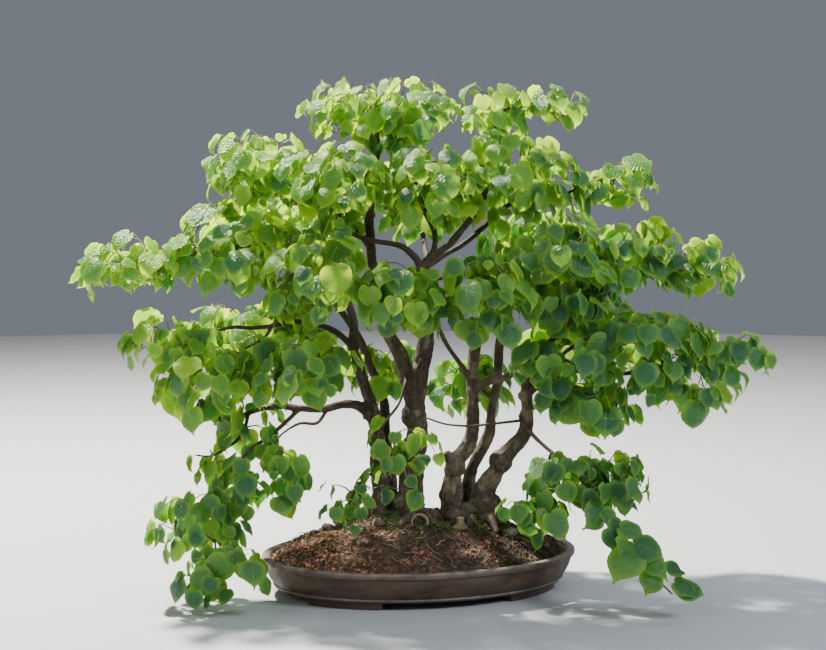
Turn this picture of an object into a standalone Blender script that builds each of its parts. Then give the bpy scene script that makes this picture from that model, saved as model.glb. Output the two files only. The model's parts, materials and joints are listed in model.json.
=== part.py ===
"""A clump-style small-leaved lime bonsai in a shallow oval stoneware pot, in metres, +Z up.

The origin is the middle of the pot's footprint on the surface it stands on. +X runs along the pot's
long axis and -Y is its front. The tree is drawn in a front-on frame of its own: u to the right,
w to the back and h above the soil at the root crown. It is then turned a little against the pot.
"""

import math

import bmesh
import bpy
from mathutils import Vector

# ---- Overall sizes -------------------------------------------------------------------------------
POT_LENGTH = 0.470
POT_DEPTH = 0.350
POT_HEIGHT = 0.056
CROWN_WIDTH = 0.976
CROWN_DEPTH = 0.620
TREE_HEIGHT = 0.640  # from the soil at the root crown to the top of the leaves
TREE_TURN = math.radians(-17)  # the tree's front against the pot's front

# ---- Pot -----------------------------------------------------------------------------------------
WALL = 0.009
FLOOR = 0.009
FOOT_HEIGHT = 0.011
FOOT_WIDTH = 0.014
FOOT_SETBACK = 0.007
FOOT_SEGMENTS = 4
BASE_INSET = 0.019  # how far the wall's foot stands in from the rim
BULGE = 0.0035  # how far the wall swells out past a straight line
MOULDING = 0.0022
MOULDING_HEIGHT = 0.005
RIM_WIDTH = 0.013
RIM_BAND = 0.0085
RIM_OVERHANG = 0.0035
RIM_ROUND = 0.0018
RING_SEGMENTS = 40
DRAIN_RADIUS = 0.012
DRAIN_SPACING = 0.200
SCREEN_SIDE = 0.034
SCREEN_THICKNESS = 0.0012
SCREEN_CELLS = 4
SCREEN_BAR = 0.0022

# ---- Soil and what sits in it --------------------------------------------------------------------
GAP = 0.0003  # between pieces that rest on or in each other
SOIL_BELOW_RIM = 0.003
MOUND = 0.052  # how far the soil rises from its edge to the root crown
CROWN_FLAT = 0.30  # share of the soil's radius that is nearly level round the roots
SOIL_RINGS = (0.84, 0.66, 0.48, 0.30)  # the soil's inner rings, as shares of its outer one

# ---- Tree ----------------------------------------------------------------------------------------
LEAF_CLEARANCE = 0.008  # the lowest leaves' height over the surface
WOOD_GAP = 0.0006  # round a limb where it runs through its leaves
LEAF_GAP = 0.004  # between two clusters of leaves
POT_GAP = 0.003  # between leaves and the pot or the soil
FLARE = 0.25  # how much thicker a stem is at its foot
FLARE_HEIGHT = 0.035
STEM_SIDES, LIMB_SIDES, TWIG_SIDES = 10, 6, 5
DRAWN_WIDTH, DRAWN_DEPTH, DRAWN_HEIGHT = 0.976, 0.620, 0.640  # the sizes the tables below are drawn at

# Each stem: its limbs, as (sides, radius at the start, radius at the end, route of (u, w, h) points).
# The first limb is the stem itself.
STEMS = {
    "stem_main": [
        (STEM_SIDES, 0.0175, 0.0095, [(-.014, .020, -.022), (-.012, .018, .030), (-.010, .014, .080),
            (-.006, .010, .130), (-.004, .008, .170), (.002, .004, .215), (.007, .000, .255),
            (.010, .000, .295), (.008, .000, .330), (.002, .000, .362), (.001, .000, .376)]),
        (STEM_SIDES, 0.0150, 0.0050, [(-.007, .010, .155), (-.017, .010, .195), (-.029, .012, .235),
            (-.046, .017, .268), (-.059, .020, .305), (-.067, .020, .350), (-.071, .020, .400),
            (-.073, .020, .440), (-.066, .020, .490), (-.062, .018, .540), (-.070, .015, .585)]),
        (LIMB_SIDES, 0.0070, 0.0030, [(.002, .000, .366), (-.008, -.010, .384), (-.028, -.022, .398),
            (-.062, -.034, .404), (-.092, -.044, .412), (-.118, -.055, .432)]),
        (LIMB_SIDES, 0.0080, 0.0030, [(.001, .000, .364), (.020, -.004, .382), (.046, -.010, .405),
            (.073, -.014, .436), (.092, -.012, .468), (.110, -.004, .505), (.114, .000, .545),
            (.108, .000, .580), (.132, -.010, .600), (.170, -.016, .604)]),
        (LIMB_SIDES, 0.0060, 0.0030, [(.003, .002, .368), (.020, .006, .392), (.022, .010, .418),
            (.008, .012, .445), (.000, -.006, .470), (-.010, -.020, .505), (-.018, -.006, .560)]),
        (LIMB_SIDES, 0.0060, 0.0025, [(.006, .002, .366), (.034, .010, .382), (.062, .012, .398),
            (.094, .014, .424), (.122, .014, .452), (.142, .010, .462), (.168, .006, .466),
            (.202, .006, .468), (.236, .010, .482), (.262, .014, .486), (.286, .018, .496)]),
        (TWIG_SIDES, 0.0040, 0.0022, [(.006, -.002, .348), (.030, -.022, .350), (.046, -.036, .362),
            (.072, -.044, .362), (.094, -.056, .352)]),
        (LIMB_SIDES, 0.0062, 0.0028, [(-.070, .018, .392), (-.090, .010, .418), (-.116, .000, .444),
            (-.136, .000, .468), (-.170, .000, .474), (-.205, .000, .486), (-.238, .000, .496)]),
        (LIMB_SIDES, 0.0062, 0.0028, [(.006, .004, .340), (.012, .040, .372), (.006, .085, .404),
            (.002, .135, .432), (.004, .180, .452)]),
        (TWIG_SIDES, 0.0042, 0.0024, [(-.068, .022, .440), (-.088, .055, .470), (-.118, .095, .484)]),
        (TWIG_SIDES, 0.0034, 0.0020, [(-.020, .004, .208), (-.022, -.026, .196), (-.030, -.038, .172),
            (-.050, -.052, .146), (-.060, -.060, .122), (-.050, -.072, .106), (-.030, -.080, .098)]),
        (TWIG_SIDES, 0.0030, 0.0020, [(-.006, .000, .105), (-.020, -.030, .100), (-.052, -.064, .086),
            (-.086, -.094, .062), (-.100, -.108, .036)]),
    ],
    "stem_left": [
        (STEM_SIDES, 0.0130, 0.0045, [(-.056, .030, -.022), (-.056, .028, .025), (-.058, .024, .065),
            (-.063, .018, .105), (-.071, .013, .150), (-.078, .010, .182), (-.087, .008, .218),
            (-.096, .006, .250), (-.097, .004, .276), (-.108, .000, .315), (-.122, -.004, .352),
            (-.150, -.010, .384)]),
        (LIMB_SIDES, 0.0055, 0.0025, [(-.140, -.008, .374), (-.188, -.014, .400), (-.235, -.020, .402),
            (-.285, -.030, .392), (-.340, -.044, .386), (-.385, -.052, .372), (-.425, -.060, .366)]),
        (LIMB_SIDES, 0.0065, 0.0025, [(-.093, .007, .245), (-.120, -.002, .268), (-.150, -.010, .282),
            (-.186, -.016, .288), (-.216, -.020, .282), (-.246, -.022, .278), (-.272, -.024, .280),
            (-.318, -.028, .272), (-.362, -.032, .260)]),
        (TWIG_SIDES, 0.0034, 0.0020, [(-.214, -.020, .283), (-.226, -.032, .264), (-.248, -.042, .252),
            (-.278, -.050, .234)]),
        (TWIG_SIDES, 0.0034, 0.0020, [(-.212, -.020, .283), (-.190, -.040, .305), (-.166, -.066, .326),
            (-.148, -.090, .336)]),
        (LIMB_SIDES, 0.0092, 0.0028, [(-.070, .014, .148), (-.090, .010, .162), (-.112, .006, .165),
            (-.142, .000, .159), (-.178, -.010, .161), (-.204, -.014, .165), (-.228, -.018, .162),
            (-.253, -.020, .153), (-.272, -.024, .148), (-.290, -.032, .166)]),
        (TWIG_SIDES, 0.0036, 0.0020, [(-.250, -.020, .154), (-.254, -.030, .134), (-.263, -.040, .119),
            (-.282, -.048, .106), (-.300, -.058, .098), (-.322, -.066, .100)]),
        (LIMB_SIDES, 0.0046, 0.0022, [(-.176, -.010, .160), (-.192, -.020, .144), (-.213, -.032, .128),
            (-.236, -.046, .112), (-.254, -.058, .094), (-.268, -.068, .080), (-.282, -.084, .056),
            (-.288, -.110, .022), (-.284, -.145, -.014), (-.276, -.175, -.042)]),
        (TWIG_SIDES, 0.0038, 0.0022, [(-.134, .001, .160), (-.150, -.016, .140), (-.175, -.030, .141),
            (-.198, -.044, .128), (-.208, -.056, .112), (-.212, -.072, .086)]),
        (TWIG_SIDES, 0.0040, 0.0022, [(-.088, .008, .222), (-.118, -.030, .232), (-.148, -.060, .228),
            (-.172, -.078, .218)]),
    ],
    "stem_left_rear": [
        (LIMB_SIDES, 0.0095, 0.0040, [(-.046, .066, -.022), (-.046, .066, .030), (-.050, .066, .090),
            (-.054, .070, .150), (-.066, .080, .200), (-.098, .104, .262), (-.136, .130, .318),
            (-.162, .152, .368), (-.186, .172, .398)]),
        (TWIG_SIDES, 0.0042, 0.0024, [(-.060, .076, .180), (-.050, .110, .205), (-.056, .140, .212)]),
        (TWIG_SIDES, 0.0046, 0.0024, [(-.092, .100, .250), (-.150, .116, .262), (-.208, .128, .262),
            (-.256, .136, .264)]),
    ],
    "stem_centre": [
        (STEM_SIDES, 0.0135, 0.0045, [(.047, .020, -.022), (.048, .020, .020), (.051, .018, .048),
            (.058, .015, .080), (.071, .012, .108), (.078, .010, .150), (.078, .010, .185),
            (.081, .010, .230), (.087, .008, .275), (.094, -.006, .312), (.100, -.050, .322),
            (.094, -.095, .318)]),
        (LIMB_SIDES, 0.0090, 0.0070, [(.055, .016, .060), (.046, .012, .078), (.039, .008, .094)]),
        (LIMB_SIDES, 0.0058, 0.0024, [(.078, .010, .180), (.062, .004, .220), (.040, -.002, .255),
            (.020, -.040, .292), (-.004, -.080, .306), (-.028, -.110, .312)]),
        (LIMB_SIDES, 0.0074, 0.0028, [(.078, .010, .184), (.100, -.002, .198), (.124, -.014, .207),
            (.155, -.026, .230), (.186, -.034, .256), (.216, -.042, .290), (.232, -.050, .325),
            (.248, -.030, .346), (.284, -.004, .352), (.330, .002, .358), (.382, .000, .362)]),
        (TWIG_SIDES, 0.0040, 0.0022, [(.212, -.040, .286), (.200, -.062, .312), (.192, -.080, .335)]),
    ],
    "stem_rear": [
        (LIMB_SIDES, 0.0100, 0.0034, [(.071, .056, -.022), (.072, .055, .020), (.078, .050, .060),
            (.090, .044, .090), (.102, .042, .116), (.107, .042, .150), (.114, .042, .185),
            (.117, .044, .230), (.124, .060, .275), (.140, .092, .325), (.162, .128, .365),
            (.184, .160, .388)]),
        (TWIG_SIDES, 0.0042, 0.0022, [(.110, .044, .165), (.092, .090, .178), (.076, .135, .182)]),
        (TWIG_SIDES, 0.0046, 0.0024, [(.134, .080, .305), (.180, .100, .290), (.232, .120, .268),
            (.276, .134, .258)]),
    ],
    "stem_right": [
        (STEM_SIDES, 0.0150, 0.0078, [(.094, .012, -.022), (.092, .010, .018), (.108, .008, .060),
            (.132, .006, .096), (.151, .004, .124), (.156, .002, .152), (.155, .000, .186),
            (.158, -.002, .214), (.166, -.004, .230)]),
        (LIMB_SIDES, 0.0060, 0.0026, [(.163, -.003, .222), (.190, -.008, .234), (.212, -.014, .232),
            (.238, -.022, .216), (.276, -.030, .212), (.316, -.030, .216), (.345, -.022, .218),
            (.386, -.014, .218), (.407, -.010, .236), (.436, -.006, .246), (.462, .000, .242)]),
        (LIMB_SIDES, 0.0060, 0.0024, [(.156, .000, .178), (.172, -.010, .192), (.188, -.020, .214),
            (.210, -.030, .246), (.244, -.044, .268), (.294, -.046, .286), (.334, -.040, .292),
            (.370, -.034, .288), (.402, -.030, .281)]),
        (TWIG_SIDES, 0.0036, 0.0022, [(.318, -.030, .216), (.352, -.002, .200), (.392, .018, .188)]),
        (TWIG_SIDES, 0.0036, 0.0022, [(.196, -.022, .222), (.206, -.034, .196), (.240, -.030, .176)]),
        (LIMB_SIDES, 0.0042, 0.0020, [(.153, .004, .138), (.165, -.020, .124), (.180, -.038, .110),
            (.202, -.062, .092), (.228, -.094, .070), (.242, -.135, .044), (.262, -.168, .014),
            (.282, -.190, -.014), (.318, -.204, -.044), (.350, -.210, -.066)]),
        (TWIG_SIDES, 0.0030, 0.0018, [(.190, -.050, .102), (.172, -.090, .070), (.166, -.124, .034)]),
        (TWIG_SIDES, 0.0028, 0.0016, [(.152, .002, .142), (.136, -.016, .142), (.110, -.032, .141),
            (.083, -.036, .139), (.058, -.036, .139), (.034, -.036, .142), (.010, -.036, .150)]),
    ],
}

# Each cluster of leaves: centre (u, w, h) and half sizes (u, w, h).
FOLIAGE = {
    "leaves_top": ((-.095, .015, .588), (.078, .084, .054)),
    "leaves_top_middle": ((-.012, .000, .594), (.068, .090, .052)),
    "leaves_top_right": ((.100, -.002, .582), (.058, .062, .048)),
    "leaves_top_tip": ((.186, -.016, .596), (.058, .038, .036)),
    "leaves_upper_left": ((-.228, .000, .498), (.092, .096, .070)),
    "leaves_upper_middle": ((-.108, -.062, .486), (.078, .084, .062)),
    "leaves_upper_front": ((.004, -.064, .480), (.076, .088, .068)),
    "leaves_upper_right": ((.146, .004, .494), (.104, .100, .064)),
    "leaves_right_sprig": ((.290, .018, .486), (.052, .056, .040)),
    "leaves_far_left": ((-.408, -.056, .366), (.096, .070, .048)),
    "leaves_left_middle": ((-.278, -.046, .384), (.090, .100, .078)),
    "leaves_middle_left": ((-.142, -.110, .352), (.080, .080, .072)),
    "leaves_middle": ((-.030, -.122, .322), (.074, .074, .062)),
    "leaves_middle_right": ((.088, -.118, .318), (.070, .074, .078)),
    "leaves_right_middle": ((.200, -.072, .350), (.088, .090, .090)),
    "leaves_right_upper": ((.318, .004, .380), (.070, .084, .058)),
    "leaves_far_right_upper": ((.404, .004, .360), (.058, .062, .048)),
    "leaves_left_low_tip": ((-.368, -.034, .256), (.068, .068, .042)),
    "leaves_left_low": ((-.300, -.054, .194), (.092, .080, .070)),
    "leaves_left_inner": ((-.176, -.084, .218), (.080, .072, .056)),
    "leaves_right_inner": ((.222, -.046, .214), (.070, .078, .060)),
    "leaves_right_low": ((.328, -.038, .246), (.076, .080, .062)),
    "leaves_far_right": ((.458, .000, .236), (.062, .054, .038)),
    "leaves_right_drop": ((.408, .022, .184), (.062, .056, .042)),
    "leaves_right_under": ((.258, -.028, .160), (.062, .058, .044)),
    "leaves_bottom_right": ((.236, -.104, .062), (.098, .070, .056)),
    "leaves_right_trail": ((.312, -.206, -.040), (.096, .054, .054)),
    "leaves_right_over_soil": ((.160, -.128, .020), (.054, .044, .038)),
    "leaves_bottom_left_upper": ((-.236, -.086, .062), (.088, .068, .058)),
    "leaves_bottom_left": ((-.312, -.110, -.006), (.072, .064, .070)),
    "leaves_bottom_left_tip": ((-.272, -.186, -.054), (.072, .048, .042)),
    "leaves_front_left": ((-.102, -.112, .034), (.038, .038, .056)),
    "leaves_front": ((-.026, -.086, .090), (.062, .050, .058)),
    "leaves_rear_gap": ((-.056, .144, .206), (.058, .052, .050)),
    "leaves_rear_middle": ((.074, .142, .176), (.070, .054, .062)),
    "leaves_rear_left": ((-.190, .186, .404), (.114, .094, .072)),
    "leaves_rear_top": ((.000, .190, .456), (.112, .092, .076)),
    "leaves_rear_right": ((.186, .166, .386), (.106, .092, .072)),
    "leaves_rear_left_low": ((-.262, .138, .258), (.090, .086, .058)),
    "leaves_rear_right_low": ((.280, .136, .252), (.088, .082, .058)),
}

# Each stem's surface roots, from its foot out and down: (start radius, end radius, route).
ROOTS = {
    "stem_main": [
        (.012, .005, [(-.014, .014, .006), (-.020, -.020, .003), (-.034, -.050, -.014)]),
        (.010, .005, [(-.006, .012, .005), (.012, -.018, .001), (.018, -.046, -.012)]),
        (.010, .004, [(-.012, .028, .004), (-.004, .062, -.002), (.004, .090, -.018)]),
    ],
    "stem_left": [
        (.009, .004, [(-.060, .026, .005), (-.088, .012, .002), (-.110, -.004, -.014)]),
        (.007, .004, [(-.058, .022, .005), (-.066, -.006, .001), (-.080, -.034, -.012)]),
    ],
    "stem_left_rear": [(.007, .003, [(-.048, .068, .004), (-.078, .084, -.002), (-.100, .094, -.016)])],
    "stem_centre": [
        (.009, .004, [(.046, .016, .005), (.044, -.014, .000), (.040, -.042, -.014)]),
        (.008, .004, [(.046, .026, .004), (.038, .062, -.002), (.036, .088, -.016)]),
    ],
    "stem_rear": [(.008, .004, [(.074, .058, .004), (.096, .084, -.002), (.112, .102, -.018)])],
    "stem_right": [
        (.012, .005, [(.094, .006, .006), (.102, -.024, .002), (.112, -.052, -.016)]),
        (.011, .005, [(.098, .012, .006), (.132, .016, .000), (.158, .012, -.018)]),
        (.008, .004, [(.090, .006, .005), (.078, -.018, .001), (.072, -.044, -.013)]),
    ],
}

# Stones on the soil: centre (u, w), half sizes.
STONES = {
    "stone_left": ((-.118, .030), (.014, .011, .009)),
    "stone_left_small": ((-.136, -.004), (.010, .008, .006)),
    "stone_dark": ((-.140, .052), (.010, .009, .008)),
    "stone_front": ((-.060, -.052), (.012, .009, .007)),
    "stone_right": ((.132, -.030), (.013, .010, .008)),
}
CUT_ROOT = ((.058, -.052), .008, .014)  # place (u, w), radius, height over the soil
ROOT_LOOP = ((.000, -.056), .0115, .0026)  # place (u, w), radius of the loop, radius of the root

# ---- What follows from the sizes above -----------------------------------------------------------
HALF_LENGTH, HALF_DEPTH = POT_LENGTH / 2, POT_DEPTH / 2
FLOOR_TOP = FOOT_HEIGHT + FLOOR
SOIL_EDGE = POT_HEIGHT - SOIL_BELOW_RIM
SOIL_TOP = SOIL_EDGE + MOUND

COLOURS = {
    "stoneware": ((0.115, 0.088, 0.072), 0.62),
    "soil": ((0.115, 0.062, 0.036), 0.95),
    "bark": ((0.150, 0.112, 0.085), 0.90),
    "leaf": ((0.130, 0.330, 0.045), 0.50),
    "stone": ((0.230, 0.195, 0.160), 0.85),
    "screen": ((0.025, 0.030, 0.028), 0.60),
}
MATERIALS = {}


def material(name):
    """The part's finish of that name, made the first time it is asked for."""
    if name not in MATERIALS:
        made = bpy.data.materials.new(name)
        made.use_nodes = True
        colour, roughness = COLOURS[name]
        shader = made.node_tree.nodes["Principled BSDF"]
        shader.inputs["Base Color"].default_value = (*colour, 1.0)
        shader.inputs["Roughness"].default_value = roughness
        shader.inputs["Metallic"].default_value = 0.0
        MATERIALS[name] = made
    return MATERIALS[name]


def add_object(name, form):
    """Turns a bmesh into an object with its faces pointing out."""
    bmesh.ops.recalc_face_normals(form, faces=form.faces)
    mesh = bpy.data.meshes.new(name)
    form.to_mesh(mesh)
    form.free()
    obj = bpy.data.objects.new(name, mesh)
    bpy.context.scene.collection.objects.link(obj)
    return obj


def finish(obj, finish_name, sharp_angle=40):
    """Gives a finished piece its material and smooth shading."""
    obj.data.materials.clear()
    obj.data.materials.append(material(finish_name))
    obj.data.shade_smooth()
    obj.data.set_sharp_from_angle(angle=math.radians(sharp_angle))
    return obj


def combine(target, other, operation, keep_other=False):
    """One exact Boolean, applied to target."""
    modifier = target.modifiers.new("combine", "BOOLEAN")
    modifier.operation = operation
    modifier.solver = "EXACT"
    modifier.object = other
    bpy.context.view_layer.update()
    graph = bpy.context.evaluated_depsgraph_get()
    result = bpy.data.meshes.new_from_object(target.evaluated_get(graph))
    target.modifiers.remove(modifier)
    target.data = result
    if not keep_other:
        bpy.data.objects.remove(other)
    return target


def keep_largest(obj):
    """Drops the slivers that a cut leaves loose beside the piece itself."""
    form = bmesh.new()
    form.from_mesh(obj.data)
    left = set(form.verts)
    islands = []
    while left:
        island, edge = set(), {left.pop()}
        while edge:
            island |= edge
            edge = {e.other_vert(v) for v in edge for e in v.link_edges} - island
        left -= island
        islands.append(island)
    biggest = max(islands, key=len)
    bmesh.ops.delete(form, geom=[v for v in form.verts if v not in biggest], context="VERTS")
    form.to_mesh(obj.data)
    form.free()
    return obj


def place(u, w, h):
    """A point of the tree's own frame, in the object's frame."""
    u = u * CROWN_WIDTH / DRAWN_WIDTH
    w = w * CROWN_DEPTH / DRAWN_DEPTH
    h = h * TREE_HEIGHT / DRAWN_HEIGHT
    turn_cos, turn_sin = math.cos(TREE_TURN), math.sin(TREE_TURN)
    return Vector((u * turn_cos - w * turn_sin, u * turn_sin + w * turn_cos, SOIL_TOP + h))


def oval(inset, segment):
    """The direction-th corner of the pot's oval, drawn in from its outermost edge."""
    angle = math.tau * segment / RING_SEGMENTS
    return (HALF_LENGTH - inset) * math.cos(angle), (HALF_DEPTH - inset) * math.sin(angle)


def oval_body(profile):
    """A closed body whose rings are ovals: profile is (inset, z) from its lowest ring to its last."""
    form = bmesh.new()
    rings = []
    for inset, z in profile:
        rings.append([form.verts.new((*oval(inset, i), z)) for i in range(RING_SEGMENTS)])
    for lower, upper in zip(rings, rings[1:]):
        for i in range(RING_SEGMENTS):
            j = (i + 1) % RING_SEGMENTS
            form.faces.new((lower[i], lower[j], upper[j], upper[i]))
    form.faces.new(rings[0][::-1])
    form.faces.new(rings[-1])
    return form, rings


def soil_height(x, y):
    """The soil's surface over a point of the pot's plan."""
    edge = RIM_WIDTH + GAP
    share = math.hypot(x / (HALF_LENGTH - edge), y / (HALF_DEPTH - edge))
    fall = max(0.0, min(1.0, (share - CROWN_FLAT) / (1 - CROWN_FLAT)))
    return SOIL_TOP - MOUND * fall ** 1.5


def pot():
    """One fired piece: a swelling wall with a moulding at its foot, a banded rim and four feet."""
    wall_top = POT_HEIGHT - RIM_BAND
    middle = (FOOT_HEIGHT + MOULDING_HEIGHT + wall_top) / 2
    profile = [
        (BASE_INSET + FOOT_SETBACK + FOOT_WIDTH, FOOT_HEIGHT),
        (BASE_INSET + FOOT_SETBACK, FOOT_HEIGHT),
        (BASE_INSET, FOOT_HEIGHT),
        (BASE_INSET - MOULDING, FOOT_HEIGHT + MOULDING_HEIGHT * 0.35),
        (BASE_INSET - MOULDING, FOOT_HEIGHT + MOULDING_HEIGHT * 0.75),
        (BASE_INSET - MOULDING / 2, FOOT_HEIGHT + MOULDING_HEIGHT),
        ((BASE_INSET + RIM_OVERHANG) / 2 - BULGE, middle),
        (RIM_OVERHANG, wall_top),
        (RIM_ROUND / 2, wall_top + RIM_ROUND / 2),
        (0.0, wall_top + RIM_BAND / 2),
        (RIM_ROUND / 2, POT_HEIGHT - RIM_ROUND / 2),
        (RIM_ROUND * 1.5, POT_HEIGHT),
        (RIM_WIDTH - RIM_ROUND, POT_HEIGHT),
        (RIM_WIDTH, POT_HEIGHT - RIM_ROUND),
        (BASE_INSET + WALL, FLOOR_TOP),
    ]
    form, rings = oval_body(profile)
    form.faces.ensure_lookup_table()
    quarter = RING_SEGMENTS // 4
    first = (quarter - FOOT_SEGMENTS) // 2
    starts = [q * quarter + first for q in range(4)]
    for start in starts:
        foot = []
        for i in range(start, start + FOOT_SEGMENTS):
            j = (i + 1) % RING_SEGMENTS
            corners = {rings[0][i], rings[0][j], rings[1][i], rings[1][j]}
            foot += [f for f in rings[0][i].link_faces if set(f.verts) == corners]
        moved = bmesh.ops.extrude_face_region(form, geom=foot)["geom"]
        bmesh.ops.delete(form, geom=foot, context="FACES_KEEP_BOUNDARY")
        tops = [v for v in moved if isinstance(v, bmesh.types.BMVert)]
        bmesh.ops.translate(form, verts=tops, vec=(0, 0, -FOOT_HEIGHT))
    obj = add_object("pot", form)
    for side in (-1, 1):
        hole = bmesh.new()
        bmesh.ops.create_cone(
            hole, cap_ends=True, segments=20, radius1=DRAIN_RADIUS, radius2=DRAIN_RADIUS, depth=3 * FLOOR
        )
        bmesh.ops.translate(hole, verts=hole.verts, vec=(side * DRAIN_SPACING / 2, 0, FOOT_HEIGHT + FLOOR / 2))
        combine(obj, add_object("drain_cutter", hole), "DIFFERENCE")
    return finish(obj, "stoneware")


def box(name, low, high):
    form = bmesh.new()
    bmesh.ops.create_cube(form, size=1)
    for v in form.verts:
        v.co = Vector(h if c > 0 else l for c, l, h in zip(v.co, low, high))
    return add_object(name, form)


def drain_screen(name, side):
    """A square of plastic mesh that lies on the pot's floor, over a drain hole."""
    form = bmesh.new()
    bmesh.ops.create_grid(form, x_segments=SCREEN_CELLS, y_segments=SCREEN_CELLS, size=SCREEN_SIDE / 2)
    bmesh.ops.inset_individual(form, faces=form.faces[:], thickness=SCREEN_BAR / 2)
    cells = [f for f in form.faces if not any(v.is_boundary or len(v.link_faces) > 3 for v in f.verts)]
    bmesh.ops.delete(form, geom=cells, context="FACES")
    lifted = bmesh.ops.extrude_face_region(form, geom=form.faces[:])["geom"]
    tops = [v for v in lifted if isinstance(v, bmesh.types.BMVert)]
    bmesh.ops.translate(form, verts=tops, vec=(0, 0, SCREEN_THICKNESS))
    bmesh.ops.translate(form, verts=form.verts, vec=(side * DRAIN_SPACING / 2, 0, FLOOR_TOP + GAP))
    return finish(add_object(name, form), "screen")


def soil(cutters):
    """The mounded soil, with a pocket for each thing that stands in it."""
    side_run = POT_HEIGHT - RIM_ROUND - FLOOR_TOP
    lean = (BASE_INSET + WALL - RIM_WIDTH) / side_run
    edge_inset = RIM_WIDTH + GAP + lean * (POT_HEIGHT - RIM_ROUND - SOIL_EDGE)
    profile = [(BASE_INSET + WALL + GAP, FLOOR_TOP + GAP), (edge_inset, SOIL_EDGE)]
    form = bmesh.new()
    rings = []
    for inset, z in profile:
        rings.append([form.verts.new((*oval(inset, i), z)) for i in range(RING_SEGMENTS)])
    for share in SOIL_RINGS:
        ring = []
        for i in range(RING_SEGMENTS):
            x, y = oval(edge_inset, i)
            x, y = x * share, y * share
            ring.append(form.verts.new((x, y, soil_height(x, y))))
        rings.append(ring)
    for lower, upper in zip(rings, rings[1:]):
        for i in range(RING_SEGMENTS):
            j = (i + 1) % RING_SEGMENTS
            form.faces.new((lower[i], lower[j], upper[j], upper[i]))
    form.faces.new(rings[0][::-1])
    form.faces.new(rings[-1])
    obj = add_object("soil", form)
    reach = SCREEN_SIDE / 2 + GAP
    for side in (-1, 1):
        x = side * DRAIN_SPACING / 2
        cutter = box(
            "screen_cutter",
            (x - reach, -reach, FLOOR_TOP - WALL / 2),
            (x + reach, reach, FLOOR_TOP + SCREEN_THICKNESS + 2 * GAP),
        )
        combine(obj, cutter, "DIFFERENCE")
    for cutter in cutters:
        combine(obj, cutter, "DIFFERENCE")
    return finish(keep_largest(obj), "soil")


def smooth_route(points, samples=1):
    """A Catmull-Rom curve through the points."""
    ends = [points[0] * 2 - points[1], *points, points[-1] * 2 - points[-2]]
    path = []
    for a, b, c, d in zip(ends, ends[1:], ends[2:], ends[3:]):
        for k in range(samples):
            t = k / samples
            path.append(
                ((b * 2) + (c - a) * t + (a * 2 - b * 5 + c * 4 - d) * t**2
                 + (b * 3 - a - c * 3 + d) * t**3) / 2
            )
    path.append(points[-1].copy())
    return path


def limb_radius(limb, share, height, is_stem):
    _, start, end, _ = limb
    radius = start + (end - start) * share
    return radius * (1 + FLARE * math.exp(-max(height, 0.0) / FLARE_HEIGHT)) if is_stem else radius


def tube(name, path, radii, sides):
    """A closed tapering tube, its rings turned as little as the path allows."""
    form = bmesh.new()
    tangents = [(path[min(i + 1, len(path) - 1)] - path[max(i - 1, 0)]).normalized() for i in range(len(path))]
    across = tangents[0].orthogonal().normalized()
    rings = []
    for point, tangent, radius in zip(path, tangents, radii):
        across = (across - tangent * across.dot(tangent)).normalized()
        other = tangent.cross(across)
        ring = []
        for i in range(sides):
            angle = math.tau * i / sides
            ring.append(form.verts.new(point + (across * math.cos(angle) + other * math.sin(angle)) * radius))
        rings.append(ring)
    for lower, upper in zip(rings, rings[1:]):
        for i in range(sides):
            j = (i + 1) % sides
            form.faces.new((lower[i], lower[j], upper[j], upper[i]))
    form.faces.new(rings[0][::-1])
    form.faces.new(rings[-1])
    return add_object(name, form)


def limb_tube(name, limb, is_stem, grow=0.0):
    """One limb as a tube, or its fattened copy, which clears it by grow all round and at both ends."""
    sides, _, _, route = limb
    path = smooth_route([place(*p) for p in route])
    lengths = [0.0]
    for a, b in zip(path, path[1:]):
        lengths.append(lengths[-1] + (b - a).length)
    radii = [
        limb_radius(limb, run / lengths[-1], point.z - SOIL_TOP, is_stem) + grow / math.cos(math.pi / sides)
        for run, point in zip(lengths, path)
    ]
    path[0] = path[0] + (path[0] - path[1]).normalized() * grow
    path[-1] = path[-1] + (path[-1] - path[-2]).normalized() * grow
    return tube(name, path, radii, sides)


def root_tube(name, root, grow=0.0):
    """One surface root, or its fattened copy."""
    start, end, route = root
    path = smooth_route([place(*p) for p in route])
    steps = len(path) - 1
    spread = grow / math.cos(math.pi / LIMB_SIDES)
    radii = [start + (end - start) * i / steps + spread for i in range(steps + 1)]
    path[-1] = path[-1] + (path[-1] - path[-2]).normalized() * grow
    return tube(name, path, radii, LIMB_SIDES)


def stem(name):
    """A stem with its limbs and surface roots: one grown piece."""
    limbs = STEMS[name]
    obj = limb_tube(name, limbs[0], True)
    for limb in limbs[1:]:
        combine(obj, limb_tube("limb", limb, False), "UNION")
    for root in ROOTS[name]:
        combine(obj, root_tube("root", root), "UNION")
    obj.name = name
    return finish(keep_largest(obj), "bark", sharp_angle=70)


def ellipsoid(name, centre, halves, turn, across, up):
    form = bmesh.new()
    bmesh.ops.create_uvsphere(form, u_segments=across, v_segments=up, radius=1)
    for v in form.verts:
        x, y, z = (c * h for c, h in zip(v.co, halves))
        v.co = centre + Vector(
            (x * math.cos(turn) - y * math.sin(turn), x * math.sin(turn) + y * math.cos(turn), z)
        )
    return add_object(name, form)


def on_soil(u, w):
    point = place(u, w, 0)
    return Vector((point.x, point.y, soil_height(point.x, point.y)))


def stone(name, spot, halves, grow=0.0):
    """A stone sunk a little into the soil, or its fattened copy."""
    centre = on_soil(*spot) + Vector((0, 0, halves[2] * 0.25))
    return ellipsoid(name, centre, [h + grow for h in halves], TREE_TURN + 3 * spot[0], 10, 6)


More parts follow.
